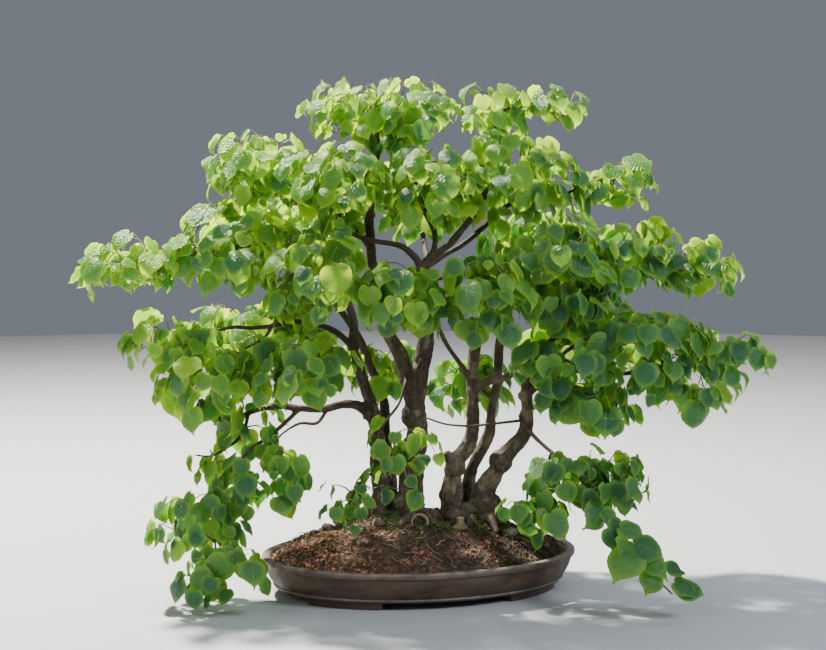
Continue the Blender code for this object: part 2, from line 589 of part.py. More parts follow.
def cut_root(name, grow=0.0):
    """The sawn end of an old root that stands out of the soil."""
    (u, w), radius, height = CUT_ROOT
    foot = on_soil(u, w)
    path = [foot - Vector((0, 0, .012 + grow)), foot + Vector((.001, -.002, height * .5)),
            foot + Vector((.002, -.006, height + grow))]
    return tube(name, path, [radius * 1.15 + grow, radius * 1.05 + grow, radius + grow], 12)


def root_loop(name, grow=0.0):
    """A root that arches out of the soil and back into it."""
    (u, w), loop_radius, radius = ROOT_LOOP
    middle = on_soil(u, w)
    path = []
    for i in range(11):
        angle = math.radians(-30 + 24 * i)
        out = Vector((math.cos(TREE_TURN), math.sin(TREE_TURN), 0)) * math.cos(angle) * loop_radius
        path.append(middle + out + Vector((0, 0, math.sin(angle) * loop_radius + .002)))
    if grow:
        path[0] = path[0] + (path[0] - path[1]).normalized() * grow
        path[-1] = path[-1] + (path[-1] - path[-2]).normalized() * grow
    return tube(name, path, [radius + grow * 1.2] * len(path), 8)


def reach_towards(halves, direction):
    """How far an ellipsoid with these half sizes reaches along a direction."""
    return 1 / math.sqrt(sum((c / h) ** 2 for c, h in zip(direction, halves)))


def keep_out():
    """The space of the pot and its mounded soil, grown by the room that leaves keep from them."""
    form = bmesh.new()
    rings = []
    levels = [(-POT_GAP, -POT_HEIGHT), (-POT_GAP, POT_HEIGHT + POT_GAP)]
    for inset, z in levels:
        rings.append([form.verts.new((*oval(inset, i), z)) for i in range(RING_SEGMENTS)])
    for share in SOIL_RINGS:
        ring = []
        for i in range(RING_SEGMENTS):
            x, y = (c * share for c in oval(0, i))
            ring.append(form.verts.new((x, y, max(POT_HEIGHT, soil_height(x, y)) + 2 * POT_GAP)))
        rings.append(ring)
    for lower, upper in zip(rings, rings[1:]):
        for i in range(RING_SEGMENTS):
            j = (i + 1) % RING_SEGMENTS
            form.faces.new((lower[i], lower[j], upper[j], upper[i]))
    form.faces.new(rings[0][::-1])
    form.faces.new(rings[-1])
    return add_object("keep_out", form)


def cluster(name, limbs, below):
    """One cluster of leaves: an ellipsoid kept on its own side of its neighbours, inside the crown's
    box and off the ground, with a tunnel for each limb that it sits on."""
    scale = Vector((CROWN_WIDTH / DRAWN_WIDTH, CROWN_DEPTH / DRAWN_DEPTH, TREE_HEIGHT / DRAWN_HEIGHT))
    centre, halves = FOLIAGE[name]
    halves = Vector(h * s for h, s in zip(halves, scale))
    obj = ellipsoid(name, place(*centre), halves, TREE_TURN, 9, 6)
    form = bmesh.new()
    form.from_mesh(obj.data)
    cuts = [
        (Vector((0, 0, LEAF_CLEARANCE)), Vector((0, 0, -1))),
        (Vector((0, 0, SOIL_TOP + TREE_HEIGHT)), Vector((0, 0, 1))),
    ]
    for axis, half in ((0, CROWN_WIDTH / 2), (1, CROWN_DEPTH / 2)):
        for side in (-1, 1):
            outward = Vector((0, 0, 0))
            outward[axis] = side
            cuts.append((outward * half, outward))
    middle = Vector(c * s for c, s in zip(centre, scale))
    for other, (other_centre, other_halves) in FOLIAGE.items():
        if other == name:
            continue
        other_halves = Vector(h * s for h, s in zip(other_halves, scale))
        apart = Vector(c * s for c, s in zip(other_centre, scale)) - middle
        if apart.length > max(halves) + max(other_halves) + LEAF_GAP:
            continue
        direction = apart.normalized()
        near, far = reach_towards(halves, direction), reach_towards(other_halves, direction)
        split = apart.length * near / (near + far) - LEAF_GAP / 2
        world = Vector(
            (
                direction.x * math.cos(TREE_TURN) - direction.y * math.sin(TREE_TURN),
                direction.x * math.sin(TREE_TURN) + direction.y * math.cos(TREE_TURN),
                direction.z,
            )
        )
        cuts.append((place(*centre) + world * split, world))
    for point, outward in cuts:
        bmesh.ops.bisect_plane(
            form, geom=form.verts[:] + form.edges[:] + form.faces[:], plane_co=point, plane_no=outward,
            clear_outer=True,
        )
    bmesh.ops.remove_doubles(form, verts=form.verts, dist=0.0008)
    bmesh.ops.delete(form, geom=form.faces[:], context="FACES_ONLY")
    hull = bmesh.ops.convex_hull(form, input=form.verts[:])
    loose = [v for v in hull["geom_interior"] + hull["geom_unused"] if isinstance(v, bmesh.types.BMVert)]
    bmesh.ops.delete(form, geom=list(set(loose)), context="VERTS")
    loose_edges = [e for e in form.edges if not e.link_faces]
    bmesh.ops.delete(form, geom=loose_edges, context="EDGES")
    bmesh.ops.recalc_face_normals(form, faces=form.faces)
    form.to_mesh(obj.data)
    low = Vector(min(v.co[k] for v in form.verts) for k in range(3))
    high = Vector(max(v.co[k] for v in form.verts) for k in range(3))
    form.free()
    for limb, is_stem in limbs:
        reach = max(limb[1], limb[2]) * (1 + FLARE) + WOOD_GAP
        path = smooth_route([place(*p) for p in limb[3]])
        if any(all(low[k] - reach < p[k] < high[k] + reach for k in range(3)) for p in path):
            combine(obj, limb_tube("tunnel", limb, is_stem, WOOD_GAP), "DIFFERENCE")
    if low.z < SOIL_TOP + POT_GAP:
        combine(obj, below, "DIFFERENCE", keep_other=True)
    obj.name = name
    return finish(keep_largest(obj), "leaf", sharp_angle=60)


def main():
    for obj in list(bpy.data.objects):
        bpy.data.objects.remove(obj)
    pot()
    for name, side in (("drain_screen_left", -1), ("drain_screen_right", 1)):
        drain_screen(name, side)
    in_soil = []
    for name, limbs in STEMS.items():
        stem(name)
        in_soil.append(limb_tube("stem_cutter", limbs[0], True, GAP))
        in_soil += [root_tube("root_cutter", root, GAP) for root in ROOTS[name]]
    for name, (spot, halves) in STONES.items():
        finish(stone(name, spot, halves), "stone")
        in_soil.append(stone("stone_cutter", spot, halves, GAP))
    finish(cut_root("cut_root"), "bark")
    finish(root_loop("root_loop"), "bark")
    in_soil += [cut_root("cut_root_cutter", GAP), root_loop("root_loop_cutter", GAP)]
    soil(in_soil)
    below = keep_out()
    limbs = [(limb, i == 0) for stem_limbs in STEMS.values() for i, limb in enumerate(stem_limbs)]
    for name in FOLIAGE:
        cluster(name, limbs, below)
    bpy.data.objects.remove(below)


main()
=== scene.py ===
# %% [markdown]
# # A clump-style lime bonsai in a stoneware pot
#
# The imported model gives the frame: where the pot stands, where each stem runs and what space each
# cluster of leaves fills. This script dresses that frame. It grows bark over the stems, hangs leaves on
# zigzag twigs, fires a finer pot and fills it with crumbly soil, moss and root fibres.

# %% The frame
import json
import math

import bmesh
import bpy
import numpy as np
from mathutils import Matrix, Vector, kdtree

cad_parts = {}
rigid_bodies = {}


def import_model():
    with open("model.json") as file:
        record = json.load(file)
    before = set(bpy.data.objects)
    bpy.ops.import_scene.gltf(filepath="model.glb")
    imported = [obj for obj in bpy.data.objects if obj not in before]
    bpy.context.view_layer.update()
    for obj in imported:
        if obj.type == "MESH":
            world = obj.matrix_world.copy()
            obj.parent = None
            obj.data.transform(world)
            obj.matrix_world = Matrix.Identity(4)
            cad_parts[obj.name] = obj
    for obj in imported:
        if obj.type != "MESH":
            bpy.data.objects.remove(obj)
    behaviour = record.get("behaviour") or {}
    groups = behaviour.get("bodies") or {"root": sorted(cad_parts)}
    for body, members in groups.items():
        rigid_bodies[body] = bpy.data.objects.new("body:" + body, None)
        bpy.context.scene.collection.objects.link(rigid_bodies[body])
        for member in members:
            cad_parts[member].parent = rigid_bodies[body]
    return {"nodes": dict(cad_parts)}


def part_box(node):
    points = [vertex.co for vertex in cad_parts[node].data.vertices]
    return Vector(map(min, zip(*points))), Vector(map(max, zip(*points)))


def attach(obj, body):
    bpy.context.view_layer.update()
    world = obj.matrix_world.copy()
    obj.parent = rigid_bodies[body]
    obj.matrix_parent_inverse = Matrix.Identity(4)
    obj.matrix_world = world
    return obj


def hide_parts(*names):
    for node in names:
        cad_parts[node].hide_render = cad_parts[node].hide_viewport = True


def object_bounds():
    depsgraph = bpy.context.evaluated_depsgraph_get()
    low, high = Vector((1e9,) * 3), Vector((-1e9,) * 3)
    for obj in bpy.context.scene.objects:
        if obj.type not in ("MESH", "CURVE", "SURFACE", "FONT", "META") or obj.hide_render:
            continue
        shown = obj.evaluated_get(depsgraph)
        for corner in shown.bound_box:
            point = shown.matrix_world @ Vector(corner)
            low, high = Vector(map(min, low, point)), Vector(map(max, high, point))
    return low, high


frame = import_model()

cad_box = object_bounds()
print("CAD box", [[round(c, 3) for c in corner] for corner in cad_box])

# %% [markdown]
# The tree was drawn front-on, in a frame of its own: u to the right, w to the back, h above the soil at
# the root crown. It was then turned a little against the pot. The same turn is used here, so that a
# place on the tree is written once, in the tree's own terms.

# %% The tree's own frame
TREE_TURN = math.radians(-17)
POT_LOW, POT_HIGH = (Vector(c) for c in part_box("pot"))
SOIL_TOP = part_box("soil")[1][2]
TURN = np.array(
    [
        [math.cos(TREE_TURN), -math.sin(TREE_TURN), 0],
        [math.sin(TREE_TURN), math.cos(TREE_TURN), 0],
        [0, 0, 1],
    ]
)


def to_row(points):
    """Points of the tree's frame, in the object's frame."""
    return np.asarray(points, float) @ TURN.T + np.array([0, 0, SOIL_TOP])


def spot(place):
    """One place of the tree's frame, in the object's frame."""
    return Vector(to_row([place])[0])


def to_tree(points):
    """Points of the object's frame, in the tree's frame."""
    return (np.asarray(points, float) - np.array([0, 0, SOIL_TOP])) @ TURN


print("soil top at", round(SOIL_TOP, 4), "m; pot", [round(c, 3) for c in POT_HIGH - POT_LOW])

# %% [markdown]
# The camera stands off the tree's front, a little above the pot and well back, with a long lens, so the
# pot's oval is seen from slightly above and the stems hardly converge.

# %% Camera
CAMERA_DISTANCE = 2.6
CAMERA_HEIGHT = 0.575
CAMERA_LENS = 77.8
CLIP_END = 50
AIM = (-0.010, 0.0, 0.387 - SOIL_TOP)  # in the tree's frame


def linked(name, data):
    """A new object in the scene."""
    obj = bpy.data.objects.new(name, data)
    bpy.context.scene.collection.objects.link(obj)
    return obj


def face(obj, eye, target):
    """Stands a camera or a light at a place and turns it to its target."""
    obj.location = eye
    obj.rotation_euler = (target - eye).to_track_quat("-Z", "Y").to_euler()


eye = spot((0, -CAMERA_DISTANCE, CAMERA_HEIGHT - SOIL_TOP))
aim = spot(AIM)
camera = linked("camera", bpy.data.cameras.new("camera"))
camera.data.lens = CAMERA_LENS
camera.data.clip_end = CLIP_END
face(camera, eye, aim)
bpy.context.scene.camera = camera
print("camera", [round(c, 3) for c in eye], "aims at", [round(c, 3) for c in aim])

# %% [markdown]
# Leaves are thin, so light from behind makes them glow, and light from the front shows their sheen. The
# key light stands high on the left and a little behind, and a wide one behind the crown stands in for the
# sky. A low light brings out the bark from the left, and two soft lights fill in from the front. The floor
# is a pale disc, wide enough for its edge to look like a horizon.

# %% Lights and floor
CROWN_MIDDLE = (0, 0, 0.25)  # in the tree's frame


def area_light(name, place, power, size, colour):
    """A square soft light at a place in the tree's frame, aimed at the crown."""
    data = bpy.data.lights.new(name, "AREA")
    data.energy = power
    data.size = size
    data.color = colour
    face(linked(name, data), spot(place), spot(CROWN_MIDDLE))


area_light("key", (-1.35, 1.05, 2.75), 600, 0.18, (1.0, 0.95, 0.85))
area_light("sky", (0.8, 1.3, 2.4), 42, 2.0, (0.86, 0.93, 1.0))
area_light("side_left", (-2.4, -0.9, 0.8), 16, 0.9, (1.0, 0.95, 0.88))
area_light("fill_front", (-1.5, -2.4, 1.8), 24, 1.2, (0.97, 0.98, 1.0))
area_light("fill_right", (2.0, -1.7, 1.7), 64, 0.8, (0.86, 0.93, 1.0))

FLOOR_RADIUS = 5.0
world = bpy.data.worlds.new("studio")
world.use_nodes = True
backdrop = world.node_tree.nodes["Background"].inputs
backdrop["Color"].default_value = (0.70, 0.78, 0.90, 1)
backdrop["Strength"].default_value = 0.25
bpy.context.scene.world = world

bpy.ops.mesh.primitive_circle_add(vertices=160, radius=FLOOR_RADIUS, fill_type="NGON")
floor = bpy.context.object
floor.name = "floor"
floor_finish = bpy.data.materials.new("pale_floor")
floor_finish.use_nodes = True
paint = floor_finish.node_tree.nodes["Principled BSDF"].inputs
paint["Base Color"].default_value = (0.40, 0.41, 0.43, 1)
paint["Roughness"].default_value = 0.9
floor.data.materials.append(floor_finish)
print("floor", 2 * FLOOR_RADIUS, "m across")

# %% [markdown]
# A few small helpers carry the whole script. `add_node` makes a node and wires it in one line, for
# materials and for Geometry Nodes alike. `plain_object` turns arrays into an object, and `bridge` and
# `tube_faces` close the skin between rings. `keep` hangs a finished piece on the frame's one body and
# hides the parts of the frame that it stands for.

# %% Helpers
def wire(tree, node, inputs):
    """Sets a node's inputs to values, or links them to other nodes' outputs."""
    for key, value in inputs.items():
        if isinstance(value, bpy.types.NodeSocket):
            tree.links.new(value, node.inputs[key])
        else:
            node.inputs[key].default_value = value


def add_node(tree, kind, inputs=None, **settings):
    """A node with its settings and its inputs."""
    made = tree.nodes.new(kind)
    for key, value in settings.items():
        setattr(made, key, value)
    wire(tree, made, inputs or {})
    return made


def mesh_from(name, form):
    """A mesh of a bmesh, which is then let go."""
    mesh = bpy.data.meshes.new(name)
    form.to_mesh(mesh)
    form.free()
    return mesh


def bridge(form, rings):
    """Faces of a bmesh between each ring of its vertices and the next."""
    for lower, upper in zip(rings, rings[1:]):
        for i in range(len(lower)):
            j = (i + 1) % len(lower)
            form.faces.new((lower[i], lower[j], upper[j], upper[i]))


def tube_faces(rings, sides):
    """The faces of a closed tube: between its rings of vertices, and over both ends."""
    faces = []
    for low in range(0, (rings - 1) * sides, sides):
        for i in range(sides):
            j = (i + 1) % sides
            faces.append((low + i, low + j, low + sides + j, low + sides + i))
    faces.append(tuple(range(sides))[::-1])
    faces.append(tuple((rings - 1) * sides + np.arange(sides)))
    return faces


def ball(subdivisions):
    """The vertices and faces of a ball of radius 1."""
    form = bmesh.new()
    bmesh.ops.create_icosphere(form, subdivisions=subdivisions, radius=1)
    vertices = np.array([v.co for v in form.verts])
    faces = [tuple(v.index for v in f.verts) for f in form.faces]
    form.free()
    return vertices, faces


def plain_object(name, vertices, faces, material=None):
    """A smooth-shaded object of these vertices and faces."""
    mesh = bpy.data.meshes.new(name)
    mesh.from_pydata([tuple(v) for v in vertices], [], [tuple(f) for f in faces])
    mesh.shade_smooth()
    if material:
        mesh.materials.append(material)
    return linked(name, mesh)


def evaluated_mesh(obj):
    """The object's mesh with its modifiers applied."""
    bpy.context.view_layer.update()
    return bpy.data.meshes.new_from_object(obj.evaluated_get(bpy.context.evaluated_depsgraph_get()))


def set_attribute(mesh, name, values, kind="FLOAT"):
    """A value, or a vector, for each vertex."""
    attribute = mesh.attributes.new(name, kind, "POINT")
    field = "value" if kind in ("FLOAT", "INT") else "vector"
    dtype = np.int32 if kind == "INT" else np.float32
    attribute.data.foreach_set(field, np.ascontiguousarray(values, dtype).ravel())


def keep(piece, slot, *nodes):
    """A finished piece: it rides on the one body and stands for these CAD nodes."""
    if nodes:
        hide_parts(*nodes)
    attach(piece, "root")
    return piece


LATTICE = np.random.default_rng(11).random((32, 32, 32))


def value_noise(points, wavelength, offset=0.0):
    """Smooth noise from 0 to 1 at each point, repeating every 32 wavelengths."""
    cell = np.asarray(points, float) / wavelength + offset
    low = np.floor(cell).astype(int)
    part = cell - low
    part = part * part * (3 - 2 * part)
    total = np.zeros(len(cell))
    for corner in np.ndindex(2, 2, 2):
        share = np.prod(np.where(corner, part, 1 - part), axis=1)
        x, y, z = ((low + corner) % 32).T
        total += share * LATTICE[x, y, z]
    return total


print("helpers ready")

# %% [markdown]
# The pot is one fired piece of unglazed brown stoneware. Its wall is an oval swept round a profile: a
# foot moulding, a wall that swells a little, and a banded rim with a flat, worn top. Sweeping a profile
# by hand keeps the rings even, so the shading stays smooth along the long wall.

# %% Pot: profile
POT_HALF_LENGTH = (POT_HIGH.x - POT_LOW.x) / 2
POT_HALF_DEPTH = (POT_HIGH.y - POT_LOW.y) / 2
RIM_TOP = POT_HIGH.z
FOOT_HEIGHT = 0.011
BASE_INSET = 0.019
WALL = 0.009
POT_FLOOR = FOOT_HEIGHT + 0.009
RIM_WIDTH = 0.013
POT_SEGMENTS = 240
# inset from the outermost oval, height, and how worn the clay is there
POT_PROFILE = [
    (0.120, FOOT_HEIGHT, 0), (0.060, FOOT_HEIGHT, 0), (BASE_INSET + 0.004, FOOT_HEIGHT, 0),
    (BASE_INSET + 0.0008, FOOT_HEIGHT + 0.0003, 0.1), (BASE_INSET, FOOT_HEIGHT + 0.0012, 0.2),
    (BASE_INSET - 0.0002, FOOT_HEIGHT + 0.0020, 0), (BASE_INSET - 0.0016, FOOT_HEIGHT + 0.0026, 0.5),
    (BASE_INSET - 0.0022, FOOT_HEIGHT + 0.0036, 1), (BASE_INSET - 0.0020, FOOT_HEIGHT + 0.0046, 0.8),
    (BASE_INSET - 0.0012, FOOT_HEIGHT + 0.0052, 0.2), (BASE_INSET - 0.0010, FOOT_HEIGHT + 0.0060, 0),
    (0.0150, 0.0205, 0), (0.0116, 0.0255, 0), (0.0088, 0.0310, 0), (0.0066, 0.0370, 0), (0.0048, 0.0430, 0),
    (0.0038, 0.0466, 0), (0.0034, 0.0474, 0), (0.0028, 0.0478, 0.3), (0.0008, 0.0482, 0.6),
    (0.0002, 0.0490, 0.5), (0.0000, 0.0510, 0.2), (0.0001, 0.0530, 0.4), (0.0008, 0.0548, 1),
    (0.0020, 0.0558, 1), (0.0032, RIM_TOP, 0.9), (0.0070, RIM_TOP, 0.8), (0.0100, 0.0558, 0.9),
    (RIM_WIDTH - 0.0008, 0.0550, 1), (RIM_WIDTH, 0.0535, 0.6), (0.0150, 0.0450, 0), (0.0200, 0.0300, 0),
    (BASE_INSET + WALL, POT_FLOOR + 0.003, 0), (BASE_INSET + WALL + 0.003, POT_FLOOR, 0),
    (0.060, POT_FLOOR, 0), (0.120, POT_FLOOR, 0),
]


def oval_point(inset, angle):
    """The place at an angle on the pot's oval, moved inwards by the inset."""
    return (POT_HALF_LENGTH - inset) * np.cos(angle), (POT_HALF_DEPTH - inset) * np.sin(angle)


def pot_body():
    """The wall, rim and floor as one closed shell, with how worn each vertex is."""
    form = bmesh.new()
    worn = form.verts.layers.float.new("wear")
    rings = []
    for inset, z, wear in POT_PROFILE:
        ring = []
        for i in range(POT_SEGMENTS):
            vertex = form.verts.new((*oval_point(inset, math.tau * i / POT_SEGMENTS), z))
            vertex[worn] = wear
            ring.append(vertex)
        rings.append(ring)
    bridge(form, rings)
    form.faces.new(rings[0][::-1])
    form.faces.new(rings[-1])
    return form


print(len(POT_PROFILE), "rings of", POT_SEGMENTS)

# %% [markdown]
# Four low feet follow the oval, and two holes in the floor let water out. The feet are arcs of a rounded
# block that starts inside the base, and the holes are cut by an exact Boolean.

# %% Pot: feet and drain holes
FOOT_ARC = (math.radians(27), math.radians(63))
FOOT_STEPS = 28
FOOT_END_LIFT = 0.0016
# inset and height round a foot's section, anticlockwise as seen along the arc
FOOT_SECTION = [
    (0.026, 0.0016), (0.0275, 0.0), (0.0385, 0.0), (0.040, 0.0016), (0.0405, 0.0125), (0.0255, 0.0125),
]
DRAIN_RADIUS = 0.012
DRAIN_SPACING = 0.200


def add_foot(form, start, end):
    """A foot along the oval, from one angle to another."""
    rings = []
    for i in range(FOOT_STEPS + 1):
        angle = start + (end - start) * i / FOOT_STEPS
        lift = FOOT_END_LIFT if i in (0, FOOT_STEPS) else 0.0
        rings.append([form.verts.new((*oval_point(d, angle), max(z, lift))) for d, z in FOOT_SECTION])
    bridge(form, rings)
    form.faces.new(rings[0][::-1])
    form.faces.new(rings[-1])


def cut_hole(target, centre_x):
    """Cuts one round drain hole through the floor."""
    bpy.ops.mesh.primitive_cylinder_add(
        vertices=48, radius=DRAIN_RADIUS, depth=0.05, location=(centre_x, 0, POT_FLOOR)
    )
    cutter = bpy.context.object
    hole = target.modifiers.new("hole", "BOOLEAN")
    hole.operation = "DIFFERENCE"
    hole.solver = "EXACT"
    hole.object = cutter
    target.data = evaluated_mesh(target)
    target.modifiers.clear()
    bpy.data.objects.remove(cutter)


form = pot_body()
for quarter in range(4):
    turn = math.radians(90 * quarter)
    add_foot(form, FOOT_ARC[0] + turn, FOOT_ARC[1] + turn)
bmesh.ops.recalc_face_normals(form, faces=form.faces)
pot = linked("stoneware_pot", mesh_from("stoneware_pot", form))
for side in (-1, 1):
    cut_hole(pot, side * DRAIN_SPACING / 2)
pot.data.shade_smooth()
pot.data.set_sharp_from_angle(angle=math.radians(50))
print("pot faces", len(pot.data.polygons))

# %% [markdown]
# Fired clay is matte and uneven: brown with grey patches where minerals dried, fine dark specks from the
# clay body, and pale, rubbed edges on the rim and the moulding. The wear is an attribute of the mesh,
# broken up by noise, so it sits on the edges and not on the wall.

# %% Pot: finish
def new_finish(name):
    """An empty material tree with an output, and its Principled shader."""
    material = bpy.data.materials.new(name)
    material.use_nodes = True
    tree = material.node_tree
    return material, tree, tree.nodes["Principled BSDF"]


def object_place(tree):
    """Where a point of the piece is, in metres."""
    return add_node(tree, "ShaderNodeTexCoord").outputs["Object"]


def painted(tree, name, output="Fac"):
    """A value that the mesh carries, vertex by vertex."""
    return add_node(tree, "ShaderNodeAttribute", attribute_name=name).outputs[output]


def noise(tree, vector, scale, detail=2.0):
    """A noise texture's own value."""
    inputs = {"Vector": vector, "Scale": scale, "Detail": detail}
    return add_node(tree, "ShaderNodeTexNoise", inputs).outputs[0]


def stretched(tree, value, low, high, to_low=0.0, to_high=1.0):
    """A value moved and stretched, so that low to high becomes to_low to to_high, and no more."""
    ends = {"Value": value, "From Min": low, "From Max": high, "To Min": to_low, "To Max": to_high}
    return add_node(tree, "ShaderNodeMapRange", ends).outputs[0]


def noise_factor(tree, vector, scale, detail=4.0, low=0.4, high=0.6):
    """A noise texture's value, stretched so that low to high becomes 0 to 1."""
    return stretched(tree, noise(tree, vector, scale, detail), low, high)


def blend_colours(tree, factor, first, second):
    """A colour between two, each a colour or another node's output."""
    ends = {"Factor": factor, 6: first, 7: second}  # inputs 6 and 7 are the colours, A and B
    return add_node(tree, "ShaderNodeMix", ends, data_type="RGBA").outputs[2]


def colour_ramp(tree, factor, stops):
    """A colour that runs through the stops, each a position and a colour."""
    ramp = add_node(tree, "ShaderNodeValToRGB", {"Fac": factor})
    elements = ramp.color_ramp.elements
    elements[0].position = stops[0][0]
    elements[-1].position = stops[-1][0]
    for position, _ in stops[1:-1]:
        elements.new(position)
    for element, (_, colour) in zip(elements, stops):
        element.color = (*colour, 1)
    return ramp.outputs["Color"]


def calculate(tree, operation, *values):
    """A Math node's result."""
    return add_node(tree, "ShaderNodeMath", dict(enumerate(values)), operation=operation).outputs[0]


def multiply(tree, first, second):
    return calculate(tree, "MULTIPLY", first, second)


def bumpy(tree, shader, height, strength, distance):
    """Fine relief in the finish, as deep as distance in metres."""
    bump = add_node(tree, "ShaderNodeBump", {"Height": height, "Strength": strength, "Distance": distance})
    tree.links.new(bump.outputs["Normal"], shader.inputs["Normal"])


stoneware, tree, shader = new_finish("brown_stoneware")
place = object_place(tree)
wear = painted(tree, "wear")
streaks = add_node(tree, "ShaderNodeMapping", {"Vector": place, "Scale": (1.0, 1.0, 3.4)}).outputs[0]
clay = blend_colours(
    tree, noise_factor(tree, streaks, 22, 6, 0.35, 0.68), (0.042, 0.022, 0.014, 1), (0.108, 0.062, 0.039, 1)
)
clay = blend_colours(tree, noise_factor(tree, streaks, 9, 5, 0.54, 0.78), clay, (0.072, 0.066, 0.063, 1))
clay = blend_colours(tree, noise_factor(tree, place, 900, 2, 0.64, 0.72), clay, (0.024, 0.017, 0.014, 1))
rubbed = multiply(tree, wear, noise_factor(tree, place, 60, 5, 0.30, 0.62))
clay = blend_colours(tree, rubbed, clay, (0.185, 0.155, 0.132, 1))
rough = stretched(tree, noise_factor(tree, place, 34), 0, 1, 0.46, 0.74)
wire(tree, shader, {"Base Color": clay, "Roughness": rough})
bumpy(tree, shader, noise(tree, place, 700, 6), 0.35, 0.0006)
pot.data.materials.clear()
pot.data.materials.append(stoneware)
keep(pot, "stoneware", "pot")
print("pot finished")

# %% [markdown]
# The soil is a mound of fired-clay granules, bark and grit. A polar grid gives the mound, and noise gives
# it lumps. The loose granules on it are one of the things that Geometry Nodes do best: points scattered
# on a surface, a small lump set on each, and everything realized into one plain mesh.

# %% Soil: the mound
SOIL_EDGE = RIM_TOP - 0.003
MOUND = SOIL_TOP - SOIL_EDGE
CROWN_FLAT = 0.30
SOIL_RINGS = 64
SOIL_SEGMENTS = 192
SOIL_GAP = 0.0006
SKIRT_INSET = 0.030


def mound_height(x, y):
    """The soil's mean surface over the pot's plan, before its lumps."""
    share = np.hypot(x / (POT_HALF_LENGTH - RIM_WIDTH), y / (POT_HALF_DEPTH - RIM_WIDTH))
    fall = np.clip((share - CROWN_FLAT) / (1 - CROWN_FLAT), 0, 1)
    return SOIL_TOP - MOUND * fall**1.5


def soil_surface(x, y):
    """The surface with its lumps, which fade out towards the rim."""
    share = np.hypot(x / (POT_HALF_LENGTH - RIM_WIDTH), y / (POT_HALF_DEPTH - RIM_WIDTH))
    flat = np.stack([x, y, np.zeros_like(x)], axis=1)
    lumps = 0.011 * (value_noise(flat, 0.040) - 0.5) + 0.009 * (value_noise(flat, 0.016, 5.3) - 0.5)
    lumps += 0.0045 * (value_noise(flat, 0.006, 9.1) - 0.5)
    return mound_height(x, y) + lumps * np.clip((1.02 - share) * 5, 0.15, 1) - 0.0015


angles = np.arange(SOIL_SEGMENTS) * math.tau / SOIL_SEGMENTS
skirt_x, skirt_y = oval_point(SKIRT_INSET, angles)
rings = [np.stack([skirt_x, skirt_y, np.full(SOIL_SEGMENTS, POT_FLOOR + 0.002)], axis=1)]
for share in np.linspace(1, 0.012, SOIL_RINGS) ** 0.8:
    x = (POT_HALF_LENGTH - RIM_WIDTH - SOIL_GAP) * share * np.cos(angles)
    y = (POT_HALF_DEPTH - RIM_WIDTH - SOIL_GAP) * share * np.sin(angles)
    rings.append(np.stack([x, y, soil_surface(x, y)], axis=1))
soil_points = np.concatenate(rings)
soil_faces = tube_faces(len(rings), SOIL_SEGMENTS)
soil = plain_object("soil_mound", soil_points, soil_faces)
print("soil faces", len(soil_faces))

# %% Soil: where the moss grows
MOSS_PATCHES = [  # place (u, w) and radius
    ((0.020, -0.040), 0.050), ((-0.040, -0.025), 0.035), ((0.075, -0.045), 0.040), ((-0.125, 0.065), 0.045),
    ((0.150, 0.050), 0.045), ((0.020, 0.085), 0.060), ((-0.075, 0.090), 0.040), ((0.125, -0.015), 0.030),
]
tree_places = to_tree(soil_points)
moss = np.zeros(len(soil_points))
for (u, w), radius in MOSS_PATCHES:
    moss = np.maximum(moss, 1 - np.hypot(tree_places[:, 0] - u, tree_places[:, 1] - w) / radius)
moss = np.clip(moss * 1.5 + 1.3 * (value_noise(soil_points, 0.012, 3.7) - 0.62), 0, 1)
moss[soil_points[:, 2] < SOIL_EDGE - 0.01] = 0
set_attribute(soil.data, "moss", moss)
print("moss covers", round(float((moss > 0.3).mean()), 2), "of the mound")

# %% Soil: finish
earth, tree, shader = new_finish("moist_soil")
place = object_place(tree)
brown = blend_colours(
    tree, noise_factor(tree, place, 160, 5), (0.020, 0.011, 0.007, 1), (0.088, 0.040, 0.022, 1)
)
mossy = painted(tree, "moss")
brown = blend_colours(tree, mossy, brown, (0.022, 0.026, 0.009, 1))
wire(tree, shader, {"Base Color": brown, "Roughness": 0.95})
bumpy(tree, shader, noise(tree, place, 420, 5), 0.8, 0.0015)
soil.data.materials.append(earth)
keep(soil, "soil", "soil")

grit, tree, shader = new_finish("soil_granules")
tint = painted(tree, "tint")
brown = colour_ramp(
    tree, tint,
    [(0.0, (0.022, 0.013, 0.009)), (0.26, (0.075, 0.032, 0.017)), (0.56, (0.210, 0.080, 0.034)),
     (0.84, (0.440, 0.185, 0.075)), (1.0, (0.640, 0.440, 0.270))],
)
place = object_place(tree)
# painted shade: dark patches stand for the crown's shadow on the granules, and the pot's left end, where the
# sun falls, is painted mostly lit
along_pot = add_node(tree, "ShaderNodeSeparateXYZ", {0: place}).outputs["X"]
shady = stretched(tree, along_pot, -0.16, -0.05, 0.25, 0.97)
painted_shade_patches = noise_factor(tree, place, 16, 5, 0.38, 0.54)
brown = blend_colours(tree, multiply(tree, painted_shade_patches, shady), brown, (0.018, 0.012, 0.007, 1))
wire(tree, shader, {"Base Color": brown, "Roughness": 0.9})
bumpy(tree, shader, noise(tree, place, 1500), 0.6, 0.0005)
print("soil finishes made")

# %% [markdown]
# One node tree scatters all that lies or grows on a surface here: soil granules and moss. Its inputs are the
# surface's density attribute, how many pieces a square metre holds, their smallest and largest size, and
# the collection of shapes to choose from.

# %% Scattering tree
def new_tree(name, **inputs):
    """A Geometry Nodes tree with a geometry in and out, and a named input for each size."""
    tree = bpy.data.node_groups.new(name, "GeometryNodeTree")
    tree.interface.new_socket("Geometry", in_out="INPUT", socket_type="NodeSocketGeometry")
    tree.interface.new_socket("Geometry", in_out="OUTPUT", socket_type="NodeSocketGeometry")
    for title, kind in inputs.items():
        tree.interface.new_socket(title, in_out="INPUT", socket_type="NodeSocket" + kind)
    return tree, tree.nodes.new("NodeGroupInput"), tree.nodes.new("NodeGroupOutput")


